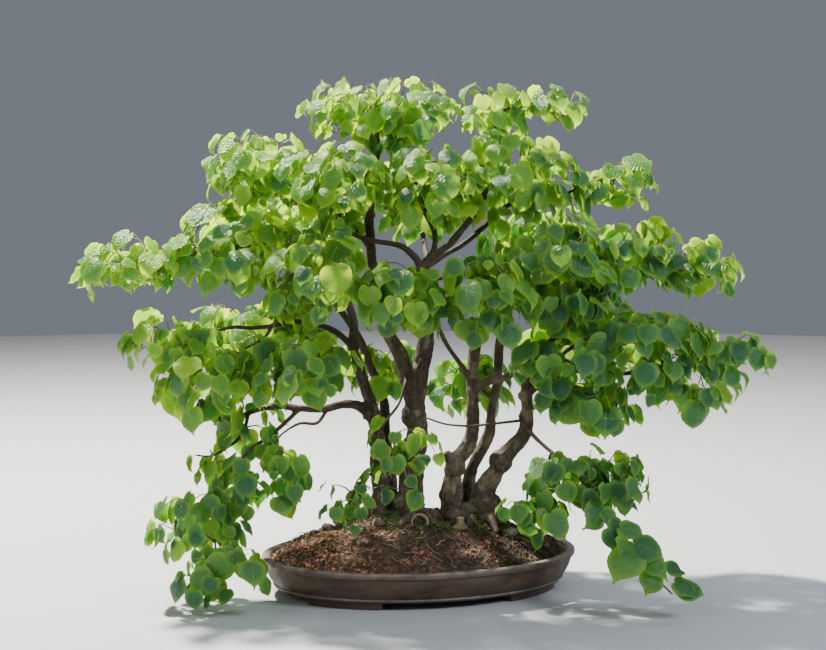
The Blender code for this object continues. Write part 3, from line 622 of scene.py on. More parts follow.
def run_tree(obj, tree, **values):
    """The plain mesh that a tree makes of an object."""
    modifier = obj.modifiers.new(tree.name, "NODES")
    modifier.node_group = tree
    for item in tree.interface.items_tree:
        if item.in_out == "INPUT" and item.name in values:
            modifier[item.identifier] = values[item.name]
    mesh = evaluated_mesh(obj)
    obj.modifiers.remove(modifier)
    return mesh


def named(tree, attribute, kind="FLOAT"):
    return add_node(tree, "GeometryNodeInputNamedAttribute", {"Name": attribute}, data_type=kind).outputs[0]


def shapes_from(tree, inside):
    """The shapes of the tree's collection, each by itself."""
    inputs = {"Collection": inside.outputs["Shapes"], "Separate Children": True, "Reset Children": True}
    return add_node(tree, "GeometryNodeCollectionInfo", inputs).outputs[0]


def close_tree(tree, geometry, inside, outside):
    """The tree's end: instances are made real, and the finish is put on."""
    real = add_node(tree, "GeometryNodeRealizeInstances", {"Geometry": geometry}).outputs[0]
    finish = {"Geometry": real, "Material": inside.outputs["Finish"]}
    wire(tree, outside, {0: add_node(tree, "GeometryNodeSetMaterial", finish).outputs[0]})


scatter, inside, outside = new_tree(
    "scatter_on_surface", Density="Float", Smallest="Float", Largest="Float", Tilt="Float", Seed="Int",
    Shapes="Collection", Finish="Material",
)
density = multiply(scatter, named(scatter, "where"), inside.outputs["Density"])
points = add_node(
    scatter, "GeometryNodeDistributePointsOnFaces",
    {"Mesh": inside.outputs["Geometry"], "Density": density, "Seed": inside.outputs["Seed"]},
)
tinted = add_node(
    scatter, "GeometryNodeStoreNamedAttribute",
    {"Geometry": points.outputs["Points"], "Name": "tint",
     "Value": add_node(scatter, "FunctionNodeRandomValue", {"Seed": 3}, data_type="FLOAT").outputs[1]},
    data_type="FLOAT", domain="POINT",
)
spin = add_node(
    scatter, "FunctionNodeRandomValue", {0: (-1.0, -1.0, -3.1416), 1: (1.0, 1.0, 3.1416), "Seed": 5},
    data_type="FLOAT_VECTOR",
)
share = {"X": inside.outputs["Tilt"], "Y": inside.outputs["Tilt"], "Z": 1.0}
tilt = add_node(scatter, "ShaderNodeCombineXYZ", share).outputs[0]
lean = add_node(scatter, "ShaderNodeVectorMath", {0: spin.outputs[0], 1: tilt}, operation="MULTIPLY")
turned = add_node(scatter, "FunctionNodeEulerToRotation", {0: lean.outputs[0]})
upright = add_node(
    scatter, "FunctionNodeRotateRotation",
    {"Rotation": points.outputs["Rotation"], "Rotate By": turned.outputs[0]}, rotation_space="LOCAL",
)
size = add_node(
    scatter, "FunctionNodeRandomValue",
    {2: inside.outputs["Smallest"], 3: inside.outputs["Largest"], "Seed": 7}, data_type="FLOAT",
)
placed = add_node(
    scatter, "GeometryNodeInstanceOnPoints",
    {"Points": tinted.outputs[0], "Instance": shapes_from(scatter, inside), "Pick Instance": True,
     "Rotation": upright.outputs[0], "Scale": size.outputs[1]},
)
close_tree(scatter, placed.outputs[0], inside, outside)
print("scattering tree has", len(scatter.nodes), "nodes")

# %% Soil: granules
def shape_collection(name, objects):
    """A collection of shapes to scatter, kept out of the scene."""
    collection = bpy.data.collections.new(name)
    for obj in objects:
        for user in list(obj.users_collection):
            user.objects.unlink(obj)
        collection.objects.link(obj)
    return collection


def crumb(name, seed):
    """A low-poly lump of unit radius, knocked out of round."""
    rng = np.random.default_rng(seed)
    form = bmesh.new()
    bmesh.ops.create_icosphere(form, subdivisions=1, radius=1)
    stretch = 0.65 + 0.6 * rng.random(3)
    for vertex in form.verts:
        vertex.co = Vector(np.array(vertex.co) * stretch * (0.75 + 0.5 * rng.random()))
    return bpy.data.objects.new(name, mesh_from(name, form))


def scattered(name, surface, where, slot, **values):
    """A new piece of everything the scattering tree sets on a surface, where the attribute says."""
    set_attribute(surface.data, "where", where)
    mesh = run_tree(surface, scatter, **values)
    surface.data.attributes.remove(surface.data.attributes["where"])
    mesh.name = name
    keep(linked(name, mesh), slot)
    print(name, len(mesh.polygons), "faces")


on_top = (soil_points[:, 2] > SOIL_EDGE - 0.012).astype(float)
on_top[:SOIL_SEGMENTS] = 0
crumbs = shape_collection("crumbs", [crumb(f"crumb_{k}", 20 + k) for k in range(5)])
scattered(
    "soil_granules", soil, on_top * (1 - 0.75 * moss), "soil",
    Density=62000.0, Smallest=0.0007, Largest=0.0026, Tilt=1.0, Seed=4, Shapes=crumbs, Finish=grit,
)

# %% [markdown]
# Each stem is grown from routes: the middle line of the stem and of each limb, as places in the tree's
# own frame, with a thickness at each end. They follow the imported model's stems. Curves through the
# routes, with a little wander, give the wood its living line.

# %% Wood: the routes
# Each limb: thickness at its start and end as radii, its route of (u, w, h), and its end if it is sawn.
SAWN = "sawn"
TAPERED = "tapered"
STEMS = {
    "stem_main": [
        (0.0175, 0.0095, [(-.014, .020, -.022), (-.012, .018, .030), (-.010, .014, .080),
         (-.006, .010, .130), (-.004, .008, .170), (.002, .004, .215), (.007, .000, .255),
         (.010, .000, .295), (.008, .000, .330), (.002, .000, .362), (.001, .000, .376)]),
        (0.0150, 0.0050, [(-.007, .010, .155), (-.017, .010, .195), (-.029, .012, .235),
         (-.046, .017, .268), (-.059, .020, .305), (-.067, .020, .350), (-.071, .020, .400),
         (-.073, .020, .440), (-.066, .020, .490), (-.062, .018, .540), (-.070, .015, .585)]),
        (0.0070, 0.0030, [(.002, .000, .366), (-.008, -.010, .384), (-.028, -.022, .398),
         (-.062, -.034, .404), (-.092, -.044, .412), (-.118, -.055, .432)]),
        (0.0080, 0.0030, [(.001, .000, .364), (.020, -.004, .382), (.046, -.010, .405), (.073, -.014, .436),
         (.092, -.012, .468), (.110, -.004, .505), (.114, .000, .545), (.108, .000, .580),
         (.132, -.010, .600), (.170, -.016, .604)]),
        (0.0060, 0.0030, [(.003, .002, .368), (.020, .006, .392), (.022, .010, .418), (.008, .012, .445),
         (.000, -.006, .470), (-.010, -.020, .505), (-.018, -.006, .560)]),
        (0.0060, 0.0025, [(.006, .002, .366), (.034, .010, .382), (.062, .012, .398), (.094, .014, .424),
         (.122, .014, .452), (.142, .010, .462), (.168, .006, .466), (.202, .006, .468), (.236, .010, .482),
         (.262, .014, .486), (.286, .018, .496)]),
        (0.0040, 0.0022, [(.006, -.002, .348), (.030, -.022, .350), (.046, -.036, .362),
         (.072, -.044, .362), (.094, -.056, .352)]),
        (0.0062, 0.0028, [(-.070, .018, .392), (-.090, .010, .418), (-.116, .000, .444),
         (-.136, .000, .468), (-.170, .000, .474), (-.205, .000, .486), (-.238, .000, .496)]),
        (0.0062, 0.0028, [(.006, .004, .340), (.012, .040, .372), (.006, .085, .404), (.002, .135, .432),
         (.004, .180, .452)]),
        (0.0042, 0.0024, [(-.068, .022, .440), (-.088, .055, .470), (-.118, .095, .484)]),
        (0.0034, 0.0020, [(-.020, .004, .208), (-.022, -.026, .196), (-.030, -.038, .172),
         (-.050, -.052, .146), (-.060, -.060, .122), (-.050, -.072, .106), (-.030, -.080, .098)]),
        (0.0030, 0.0020, [(-.006, .000, .105), (-.020, -.030, .100), (-.052, -.064, .086),
         (-.086, -.094, .062), (-.100, -.108, .036)]),
    ],
    "stem_left": [
        (0.0130, 0.0045, [(-.056, .030, -.022), (-.056, .028, .025), (-.058, .024, .065),
         (-.063, .018, .105), (-.071, .013, .150), (-.078, .010, .182), (-.087, .008, .218),
         (-.096, .006, .250), (-.097, .004, .276), (-.108, .000, .315), (-.122, -.004, .352),
         (-.150, -.010, .384)]),
        (0.0055, 0.0025, [(-.140, -.008, .374), (-.188, -.014, .400), (-.235, -.020, .402),
         (-.285, -.030, .392), (-.340, -.044, .386), (-.385, -.052, .372), (-.425, -.060, .366)]),
        (0.0065, 0.0025, [(-.093, .007, .245), (-.120, -.002, .268), (-.150, -.010, .282),
         (-.186, -.016, .288), (-.216, -.020, .282), (-.246, -.022, .278), (-.272, -.024, .280),
         (-.318, -.028, .272), (-.362, -.032, .260)]),
        (0.0034, 0.0020, [(-.214, -.020, .283), (-.226, -.032, .264), (-.248, -.042, .252),
         (-.278, -.050, .234)]),
        (0.0034, 0.0020, [(-.212, -.020, .283), (-.190, -.040, .305), (-.166, -.066, .326),
         (-.148, -.090, .336)]),
        (0.0092, 0.0028, [(-.070, .014, .148), (-.090, .010, .162), (-.112, .006, .165),
         (-.142, .000, .159), (-.178, -.010, .161), (-.204, -.014, .165), (-.228, -.018, .162),
         (-.253, -.020, .153), (-.272, -.024, .148), (-.290, -.032, .166)]),
        (0.0036, 0.0020, [(-.250, -.020, .154), (-.254, -.030, .134), (-.263, -.040, .119),
         (-.282, -.048, .106), (-.300, -.058, .098), (-.322, -.066, .100)]),
        (0.0046, 0.0022, [(-.176, -.010, .160), (-.192, -.020, .144), (-.213, -.032, .128),
         (-.236, -.046, .112), (-.254, -.058, .094), (-.268, -.068, .080), (-.282, -.084, .056),
         (-.288, -.110, .022), (-.284, -.145, -.014), (-.276, -.175, -.042)]),
        (0.0038, 0.0022, [(-.134, .001, .160), (-.150, -.016, .140), (-.175, -.030, .141),
         (-.198, -.044, .128), (-.208, -.056, .112), (-.212, -.072, .086)]),
        (0.0040, 0.0022, [(-.088, .008, .222), (-.118, -.030, .232), (-.148, -.060, .228),
         (-.172, -.078, .218)]),
    ],
    "stem_left_rear": [
        (0.0095, 0.0040, [(-.046, .066, -.022), (-.046, .066, .030), (-.050, .066, .090),
         (-.054, .070, .150), (-.066, .080, .200), (-.098, .104, .262), (-.136, .130, .318),
         (-.162, .152, .368), (-.186, .172, .398)]),
        (0.0042, 0.0024, [(-.060, .076, .180), (-.050, .110, .205), (-.056, .140, .212)]),
        (0.0046, 0.0024, [(-.092, .100, .250), (-.150, .116, .262), (-.208, .128, .262),
         (-.256, .136, .264)]),
    ],
    "stem_centre": [
        (0.0135, 0.0045, [(.047, .020, -.022), (.048, .020, .020), (.051, .018, .048), (.058, .015, .080),
         (.071, .012, .108), (.078, .010, .150), (.078, .010, .185), (.081, .010, .230), (.087, .008, .275),
         (.094, -.006, .312), (.100, -.050, .322), (.094, -.095, .318)]),
        (0.0090, 0.0070, [(.055, .016, .060), (.046, .012, .078), (.039, .008, .094)], SAWN),
        (0.0058, 0.0024, [(.078, .010, .180), (.062, .004, .220), (.040, -.002, .255), (.020, -.040, .292),
         (-.004, -.080, .306), (-.028, -.110, .312)]),
        (0.0074, 0.0028, [(.078, .010, .184), (.100, -.002, .198), (.124, -.014, .207), (.155, -.026, .230),
         (.186, -.034, .256), (.216, -.042, .290), (.232, -.050, .325), (.248, -.030, .346),
         (.284, -.004, .352), (.330, .002, .358), (.382, .000, .362)]),
        (0.0040, 0.0022, [(.212, -.040, .286), (.200, -.062, .312), (.192, -.080, .335)]),
    ],
    "stem_rear": [
        (0.0100, 0.0034, [(.071, .056, -.022), (.072, .055, .020), (.078, .050, .060), (.090, .044, .090),
         (.102, .042, .116), (.107, .042, .150), (.114, .042, .185), (.117, .044, .230), (.124, .060, .275),
         (.140, .092, .325), (.162, .128, .365), (.184, .160, .388)]),
        (0.0042, 0.0022, [(.110, .044, .165), (.092, .090, .178), (.076, .135, .182)]),
        (0.0046, 0.0024, [(.134, .080, .305), (.180, .100, .290), (.232, .120, .268), (.276, .134, .258)]),
    ],
    "stem_right": [
        (0.0150, 0.0078, [(.094, .012, -.022), (.092, .010, .018), (.108, .008, .060), (.132, .006, .096),
         (.151, .004, .124), (.156, .002, .152), (.155, .000, .186), (.158, -.002, .214),
         (.166, -.004, .230)], SAWN),
        (0.0060, 0.0026, [(.163, -.003, .222), (.190, -.008, .234), (.212, -.014, .232),
         (.238, -.022, .216), (.276, -.030, .212), (.316, -.030, .216), (.345, -.022, .218),
         (.386, -.014, .218), (.407, -.010, .236), (.436, -.006, .246), (.462, .000, .242)]),
        (0.0060, 0.0024, [(.156, .000, .178), (.172, -.010, .192), (.188, -.020, .214), (.210, -.030, .246),
         (.244, -.044, .268), (.294, -.046, .286), (.334, -.040, .292), (.370, -.034, .288),
         (.402, -.030, .281)]),
        (0.0036, 0.0022, [(.318, -.030, .216), (.352, -.002, .200), (.392, .018, .188)]),
        (0.0036, 0.0022, [(.196, -.022, .222), (.206, -.034, .196), (.240, -.030, .176)]),
        (0.0042, 0.0020, [(.153, .004, .138), (.165, -.020, .124), (.180, -.038, .110), (.202, -.062, .092),
         (.228, -.094, .070), (.242, -.135, .044), (.262, -.168, .014), (.282, -.190, -.014),
         (.318, -.204, -.044), (.345, -.198, -.072)]),
        (0.0030, 0.0018, [(.190, -.050, .102), (.172, -.090, .070), (.166, -.124, .034)]),
        (0.0028, 0.0016, [(.152, .002, .142), (.136, -.016, .142), (.110, -.032, .141), (.083, -.036, .139),
         (.058, -.036, .139), (.034, -.036, .142), (.010, -.036, .150)]),
    ],
}
ROOTS = {
    "stem_main": [
        (0.012, 0.005, [(-.014, .014, .006), (-.020, -.020, .003), (-.034, -.050, -.014)]),
        (0.010, 0.005, [(-.006, .012, .005), (.012, -.018, .001), (.018, -.046, -.012)]),
        (0.010, 0.004, [(-.012, .028, .004), (-.004, .062, -.002), (.004, .090, -.018)]),
    ],
    "stem_left": [
        (0.009, 0.004, [(-.060, .026, .005), (-.088, .012, .002), (-.110, -.004, -.014)]),
        (0.007, 0.004, [(-.058, .022, .005), (-.066, -.006, .001), (-.080, -.034, -.012)]),
    ],
    "stem_left_rear": [
        (0.007, 0.003, [(-.048, .068, .004), (-.078, .084, -.002), (-.100, .094, -.016)]),
    ],
    "stem_centre": [
        (0.009, 0.004, [(.046, .016, .005), (.044, -.014, .000), (.040, -.042, -.014)]),
        (0.008, 0.004, [(.046, .026, .004), (.038, .062, -.002), (.036, .088, -.016)]),
    ],
    "stem_rear": [
        (0.008, 0.004, [(.074, .058, .004), (.096, .084, -.002), (.112, .102, -.018)]),
    ],
    "stem_right": [
        (0.012, 0.005, [(.094, .006, .006), (.102, -.024, .002), (.112, -.052, -.016)]),
        (0.011, 0.005, [(.098, .012, .006), (.132, .016, .000), (.158, .012, -.018)]),
        (0.008, 0.004, [(.090, .006, .005), (.078, -.018, .001), (.072, -.044, -.013)]),
    ],
}
print(sum(len(limbs) for limbs in STEMS.values()), "limbs on", len(STEMS), "stems")

# %% Wood: from routes to smooth lines
STEP = 0.003
LIMB_SLIMNESS = 0.80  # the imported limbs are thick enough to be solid; the living wood is a little slimmer
FLARE = 0.42  # how much thicker a stem is at its foot
FLARE_HEIGHT = 0.028
CURVE_STEPS = 12
WANDER = 0.0032  # the most that a limb strays from its route
SWELLING = 0.26  # how much a limb's thickness changes along it
COLLAR = 0.35  # how much thicker a limb is where it leaves the wood


def curve_through(points):
    """Even steps along a Catmull-Rom curve through the points."""
    points = np.asarray(points, float)
    ends = np.vstack([2 * points[0] - points[1], points, 2 * points[-1] - points[-2]])
    dense = []
    for a, b, c, d in zip(ends, ends[1:], ends[2:], ends[3:]):
        for t in np.linspace(0, 1, CURVE_STEPS, endpoint=False):
            curve = 2 * b + (c - a) * t + (2 * a - 5 * b + 4 * c - d) * t**2 + (3 * b - a - 3 * c + d) * t**3
            dense.append(curve / 2)
    dense = np.array([*dense, points[-1]])
    run = np.concatenate([[0], np.cumsum(np.linalg.norm(np.diff(dense, axis=0), axis=1))])
    count = max(3, int(run[-1] / STEP) + 1)
    even = np.linspace(0, run[-1], count)
    return np.stack([np.interp(even, run, dense[:, k]) for k in range(3)], axis=1), even


def frames_along(points):
    """Tangent and two sideways directions at each point, turned as little as the line allows."""
    tangents = np.gradient(points, axis=0)
    tangents /= np.linalg.norm(tangents, axis=1)[:, None]
    across = np.cross(tangents[0], (0.3, 0.9, 0.2))
    sides = []
    for tangent in tangents:
        across = across - tangent * across.dot(tangent)
        across /= np.linalg.norm(across)
        sides.append(across.copy())
    sides = np.array(sides)
    return tangents, sides, np.cross(tangents, sides)


class Limb:
    """A limb's sampled middle line in the object's frame, with its radius at each sample."""

    def __init__(self, start, end, route, number, finish=TAPERED, from_soil=False):
        line, self.run = curve_through(to_row(route))
        share = self.run / self.run[-1]
        if not from_soil:
            start, end = start * LIMB_SLIMNESS, end * LIMB_SLIMNESS
        radius = start + (end - start) * share
        wander = min(0.55 * start, WANDER)
        fade = np.clip(np.minimum(self.run, self.run[-1] - self.run) / 0.03, 0, 1)
        seeds = [value_noise(line + 7.7 * number, 0.045, k * 3.1) - 0.5 for k in range(3)]
        line = line + 2 * wander * fade[:, None] * np.stack(seeds, axis=1)
        radius = radius * (1 + SWELLING * (value_noise(line, 0.028, number * 1.7) - 0.5))
        if from_soil:
            radius = radius * (1 + FLARE * np.exp(-np.clip(line[:, 2] - SOIL_TOP, 0, None) / FLARE_HEIGHT))
        else:
            radius = radius * (1 + COLLAR * np.exp(-self.run / max(start * 1.3, 0.004)))
        self.finish, self.points, self.radius = finish, line, radius
        self.tangents, self.sides, self.others = frames_along(line)

    def tube(self, facets):
        """Closed tube: rings round the middle line, with a rounded tip or a flat sawn one."""
        angle = np.arange(facets) * math.tau / facets
        ring = np.cos(angle)[None, :, None] * self.sides[:, None]
        ring = ring + np.sin(angle)[None, :, None] * self.others[:, None]
        radii = self.radius.copy()
        if self.finish == TAPERED:
            radii[-1] *= 0.55
        vertices = (self.points[:, None] + ring * radii[:, None, None]).reshape(-1, 3)
        return vertices, tube_faces(len(self.points), facets)


stems = {}
for name, limbs in STEMS.items():
    stems[name] = [
        Limb(start, end, route, i, *finish, from_soil=i == 0)
        for i, (start, end, route, *finish) in enumerate(limbs + ROOTS[name])
    ]
print("wood samples", sum(len(limb.points) for limbs in stems.values() for limb in limbs))

# %% [markdown]
# A fork is where a tube model fails, because a real fork is one body of wood. So the thick limbs are fused:
# their tubes, with knots and burrs, are joined and remeshed by voxels, and a few rounds of smoothing turn
# the creases into saddles. Thin twigs stay as tubes, because a voxel would eat them.

# %% Wood: fusing the limbs
VOXEL = 0.0015
THICK = 0.0034  # limbs that start thicker than this are fused
BURR_SUBDIVISIONS = 3
# knots and burrs: place (u, w, h) and half sizes
BURRS = {
    "stem_main": [
        ((-0.010, 0.010, 0.148), (0.019, 0.017, 0.022)), ((-0.008, 0.013, 0.100), (0.0185, 0.017, 0.020)),
        ((0.002, 0.002, 0.364), (0.011, 0.011, 0.011)), ((-0.036, 0.030, -0.006), (0.034, 0.028, 0.015)),
        ((0.002, 0.022, -0.006), (0.036, 0.030, 0.014)), ((-0.026, 0.010, 0.020), (0.012, 0.012, 0.016)),
        ((-0.020, -0.004, 0.006), (0.010, 0.009, 0.010)),
    ],
    "stem_left": [
        ((-0.064, 0.017, 0.112), (0.0135, 0.012, 0.014)), ((-0.072, 0.012, 0.150), (0.012, 0.011, 0.013)),
        ((-0.066, 0.026, 0.004), (0.018, 0.016, 0.014)), ((-0.214, -0.016, 0.164), (0.007, 0.006, 0.006)),
    ],
    "stem_centre": [
        ((0.052, 0.015, 0.070), (0.016, 0.014, 0.016)), ((0.047, 0.013, 0.082), (0.0105, 0.011, 0.011)),
        ((0.046, 0.016, 0.030), (0.017, 0.016, 0.014)), ((0.078, 0.009, 0.186), (0.010, 0.010, 0.010)),
        ((0.062, 0.018, -0.004), (0.032, 0.028, 0.018)), ((0.078, 0.006, 0.002), (0.026, 0.018, 0.018)),
        ((0.050, -0.004, 0.002), (0.014, 0.012, 0.010)), ((0.050, -0.030, 0.006), (0.015, 0.009, 0.007)),
        ((0.071, -0.048, 0.000), (0.0045, 0.005, 0.013)), ((0.060, -0.026, 0.004), (0.009, 0.009, 0.008)),
        ((0.045, -0.042, -0.012), (0.012, 0.009, 0.010)), ((0.050, -0.028, -0.004), (0.010, 0.010, 0.008)),
    ],
    "stem_rear": [
        ((0.074, 0.054, 0.006), (0.016, 0.015, 0.012)),
    ],
    "stem_left_rear": [
        ((-0.046, 0.066, 0.004), (0.015, 0.014, 0.012)),
    ],
    "stem_right": [
        ((0.120, 0.005, 0.080), (0.0165, 0.015, 0.017)), ((0.098, 0.008, 0.016), (0.024, 0.022, 0.018)),
        ((0.155, 0.002, 0.148), (0.0105, 0.010, 0.012)), ((0.104, -0.010, 0.000), (0.022, 0.018, 0.014)),
        ((0.150, 0.000, 0.178), (0.008, 0.008, 0.008)),
    ],
}


def lump(place, halves):
    """A knot or burr as a shell of its own."""
    vertices, faces = ball(BURR_SUBDIVISIONS)
    return (vertices * halves) @ TURN.T + to_row([place])[0], faces


def joined(shells):
    """Several shells' vertices and faces as one list."""
    vertices, faces, count = [], [], 0
    for shell_vertices, shell_faces in shells:
        vertices.append(shell_vertices)
        faces += [tuple(i + count for i in face) for face in shell_faces]
        count += len(shell_vertices)
    return np.concatenate(vertices), faces


def fused(name, shells):
    """One skin over all the shells."""
    obj = plain_object(name, *joined(shells))
    remesh = obj.modifiers.new("fuse", "REMESH")
    remesh.mode = "VOXEL"
    remesh.voxel_size = VOXEL
    soften = obj.modifiers.new("soften", "SMOOTH")
    soften.factor = 0.5
    soften.iterations = 5
    mesh = evaluated_mesh(obj)
    bpy.data.objects.remove(obj)
    return mesh


def mesh_arrays(mesh):
    """A mesh's vertices, normals and faces."""
    vertices = np.empty(len(mesh.vertices) * 3)
    mesh.vertices.foreach_get("co", vertices)
    normals = np.empty(len(mesh.vertices) * 3)
    mesh.vertices.foreach_get("normal", normals)
    return vertices.reshape(-1, 3), normals.reshape(-1, 3), [tuple(p.vertices) for p in mesh.polygons]


def bark_frame(limbs, vertices):
    """For each vertex: its place across and along the nearest limb, the limb's radius, and how sawn it is."""
    points, radii, tangents, sides, others = (
        np.concatenate([getattr(limb, part) for limb in limbs])
        for part in ("points", "radius", "tangents", "sides", "others")
    )
    runs = np.concatenate([limb.run + 0.37 * i for i, limb in enumerate(limbs)])
    tree = kdtree.KDTree(len(points))
    for i, point in enumerate(points):
        tree.insert(point, i)
    tree.balance()
    nearest = np.empty(len(vertices), int)
    for i, vertex in enumerate(vertices):
        found = tree.find_n(vertex, 5)
        nearest[i] = min(found, key=lambda hit: hit[2] - radii[hit[1]])[1]
    away = vertices - points[nearest]
    across, behind, ahead = ((away * axis[nearest]).sum(axis=1) for axis in (sides, others, tangents))
    grain = np.stack([across, behind, runs[nearest] + ahead], axis=1)
    sawn = np.zeros(len(vertices))
    for limb in limbs:
        if limb.finish == SAWN:
            reach = vertices - limb.points[-1]
            ahead = reach @ limb.tangents[-1]
            near = np.linalg.norm(reach, axis=1) < limb.radius[-1] * 1.05
            sawn[near & (ahead > -0.0012)] = 1
    return grain, radii[nearest], sawn


MUSCLE = 0.0055  # heights of the relief on the thickest wood
LUMPS = 0.0022
RIDGES = 0.0016
PLATES = 0.0008


def bark_relief(grain, radius):
    """How far the bark stands out or in, with long muscles and with only its ridges and plates."""
    stretched = grain * np.array([1, 1, 0.30])
    thick = np.clip((radius - 0.003) / 0.012, 0, 1)
    muscle = (value_noise(grain * np.array([1, 1, 0.22]), 0.012) - 0.5) * MUSCLE * thick
    ridge = 1 - np.abs(2 * value_noise(stretched, 0.0042, 2.3) - 1)
    plate = value_noise(grain * np.array([1, 1, 0.6]), 0.0024, 6.1) - 0.5
    lumps = (value_noise(grain, 0.009, 8.8) - 0.5) * LUMPS * thick
    skin = (ridge - 0.55) * (0.0003 + RIDGES * thick) + plate * (0.0002 + PLATES * thick)
    return muscle + lumps + skin, skin


print("fusing tools ready")

# %% [markdown]
# Lime bark on an old stem is grey-brown and rough, with furrows that run along the wood, pale
# grey-green lichen on the weather side, and smoother, redder skin on the young twigs. The furrows and
# the stems' feet are painted darker as shade, and pale tan patches on the paler stems are painted
# sunlight. The colour follows the grain vectors that were stored with the mesh, so the pattern turns with
# every limb.

# %% Wood: finish
bark, tree, shader = new_finish("lime_bark")
grain = painted(tree, "grain", "Vector")
thickness = painted(tree, "thickness")
height = painted(tree, "relief")
sawn = painted(tree, "sawn")
place = object_place(tree)
long_grain = add_node(tree, "ShaderNodeMapping", {"Vector": grain, "Scale": (1.0, 1.0, 0.22)}).outputs[0]
ashen = painted(tree, "ashen")
foot = painted(tree, "foot")
fine_grain = noise_factor(tree, long_grain, 420, 6, 0.36, 0.66)
red = blend_colours(tree, fine_grain, (0.014, 0.009, 0.006, 1), (0.070, 0.043, 0.027, 1))
ash = blend_colours(tree, fine_grain, (0.022, 0.016, 0.010, 1), (0.125, 0.092, 0.056, 1))
old = blend_colours(tree, ashen, red, ash)
# painted sunlight: pale tan patches on the paler stems stand for sun falling through the crown
painted_sun_patches = multiply(tree, noise_factor(tree, place, 34, 5, 0.48, 0.64), multiply(tree, ashen, 0.75))
old = blend_colours(tree, painted_sun_patches, old, (0.270, 0.200, 0.118, 1))
# painted shade: the bark is darkened towards the soil, as the shade at the stems' feet; the tan patches below
# are the roots' own colour
old = blend_colours(tree, multiply(tree, foot, 0.8), old, (0.050, 0.036, 0.025, 1))
worn = multiply(tree, foot, noise_factor(tree, place, 75, 5, 0.52, 0.62))
old = blend_colours(tree, worn, old, (0.200, 0.132, 0.082, 1))
bare = painted(tree, "bare")
old = blend_colours(tree, bare, old, (0.330, 0.225, 0.145, 1))
# painted shade: the bark is darker where its relief is low, in the furrows
old = blend_colours(tree, stretched(tree, height, 0.08, 0.50), (0.030, 0.021, 0.016, 1), old)
lichen = multiply(tree, noise_factor(tree, place, 70, 8, 0.56, 0.66), 0.45)
old = blend_colours(tree, lichen, old, (0.230, 0.225, 0.150, 1))
smooth_grain = noise_factor(tree, long_grain, 300, 4, 0.35, 0.65)
young = blend_colours(tree, smooth_grain, (0.024, 0.015, 0.011, 1), (0.085, 0.058, 0.040, 1))
skin = blend_colours(tree, calculate(tree, "MAXIMUM", thickness, bare), young, old)
skin = blend_colours(tree, sawn, skin, (0.400, 0.225, 0.125, 1))
wire(tree, shader, {"Base Color": skin, "Roughness": 0.82})
bumpy(tree, shader, noise(tree, long_grain, 1100, 5), 0.7, 0.0008)
print("bark finish made")

# %% Wood: the stems
THIN_FACETS = 8
# the right-hand clump has paler, greyer bark than the left-hand one; the same share sets how much painted
# sunlight in tan patches each stem gets
ASHEN = {
    "stem_centre": 0.70, "stem_rear": 1.0, "stem_right": 0.60, "stem_main": 0.10,
    "cut_root": 1.0, "root_loop": 1.0,
}
BARE = {"cut_root": 0.6, "root_loop": 0.8}  # roots that have lost much of their bark
OLD_CUT = 0.25  # how fresh the sawn stub on a stem looks beside the cut root


def bark_stem(name, limbs, burrs, thin_below=THICK):
    """One stem with its limbs and roots: fused wood under displaced bark, and thin twigs as tubes."""
    thick = [limb for limb in limbs if limb.radius[0] >= thin_below]
    thin = [limb for limb in limbs if limb.radius[0] < thin_below]
    shells = [limb.tube(28 if limb.radius[0] > 0.009 else 16) for limb in thick]
    shells += [lump(place, halves) for place, halves in burrs]
    vertices, normals, faces = mesh_arrays(fused(name, shells))
    grain, radius, sawn = bark_frame(limbs, vertices)
    rise, relief = bark_relief(grain, radius)
    vertices = vertices + normals * (rise * (1 - sawn))[:, None]
    parts = [(vertices, faces)]
    looks = [(grain, radius, relief, sawn)]
    for limb in thin:
        twig_vertices, twig_faces = limb.tube(THIN_FACETS)
        twig_grain, twig_radius, _ = bark_frame([limb], twig_vertices)
        none = np.zeros(len(twig_vertices))
        parts.append((twig_vertices, twig_faces))
        looks.append((twig_grain, twig_radius, none, none))
    grain, radius, relief, sawn = (np.concatenate(values) for values in zip(*looks))
    obj = plain_object(name + "_wood", *joined(parts), bark)
    standing = name in STEMS
    over_soil = np.array([v.co.z for v in obj.data.vertices]) - SOIL_TOP
    set_attribute(obj.data, "grain", grain, "FLOAT_VECTOR")
    for attribute, values in (
        ("thickness", np.clip((radius - 0.003) / 0.007, 0, 1)),
        ("relief", np.clip(relief / 0.0028 + 0.5, 0, 1)),
        ("sawn", sawn * (OLD_CUT if standing else 1)),
        ("ashen", np.full(len(over_soil), ASHEN.get(name, 0.0))),
        ("bare", np.full(len(over_soil), BARE.get(name, 0.0))),
        # how near the soil a vertex is: it carries the painted shade and the tan roots at the stems' feet
        ("foot", np.clip((0.026 - over_soil) / 0.022, 0, 1) * standing),
    ):
        set_attribute(obj.data, attribute, values)
    keep(obj, "bark", name)
    print(obj.name, len(obj.data.polygons), "faces")


for name, limbs in stems.items():
    bark_stem(name, limbs, BURRS.get(name, []))

# %% [markdown]
# A lime leaf is heart-shaped, nearly round, toothed, and drawn out to a short drip tip. It hangs from a
# long petiole with its blade turned to the light. One outline, kept to a few dozen faces, is bent in
# several ways: domed like an umbrella, folded along the midrib, and waved at the margin. Its petiole
# belongs to it, so a leaf is set by the place where its petiole leaves the twig.

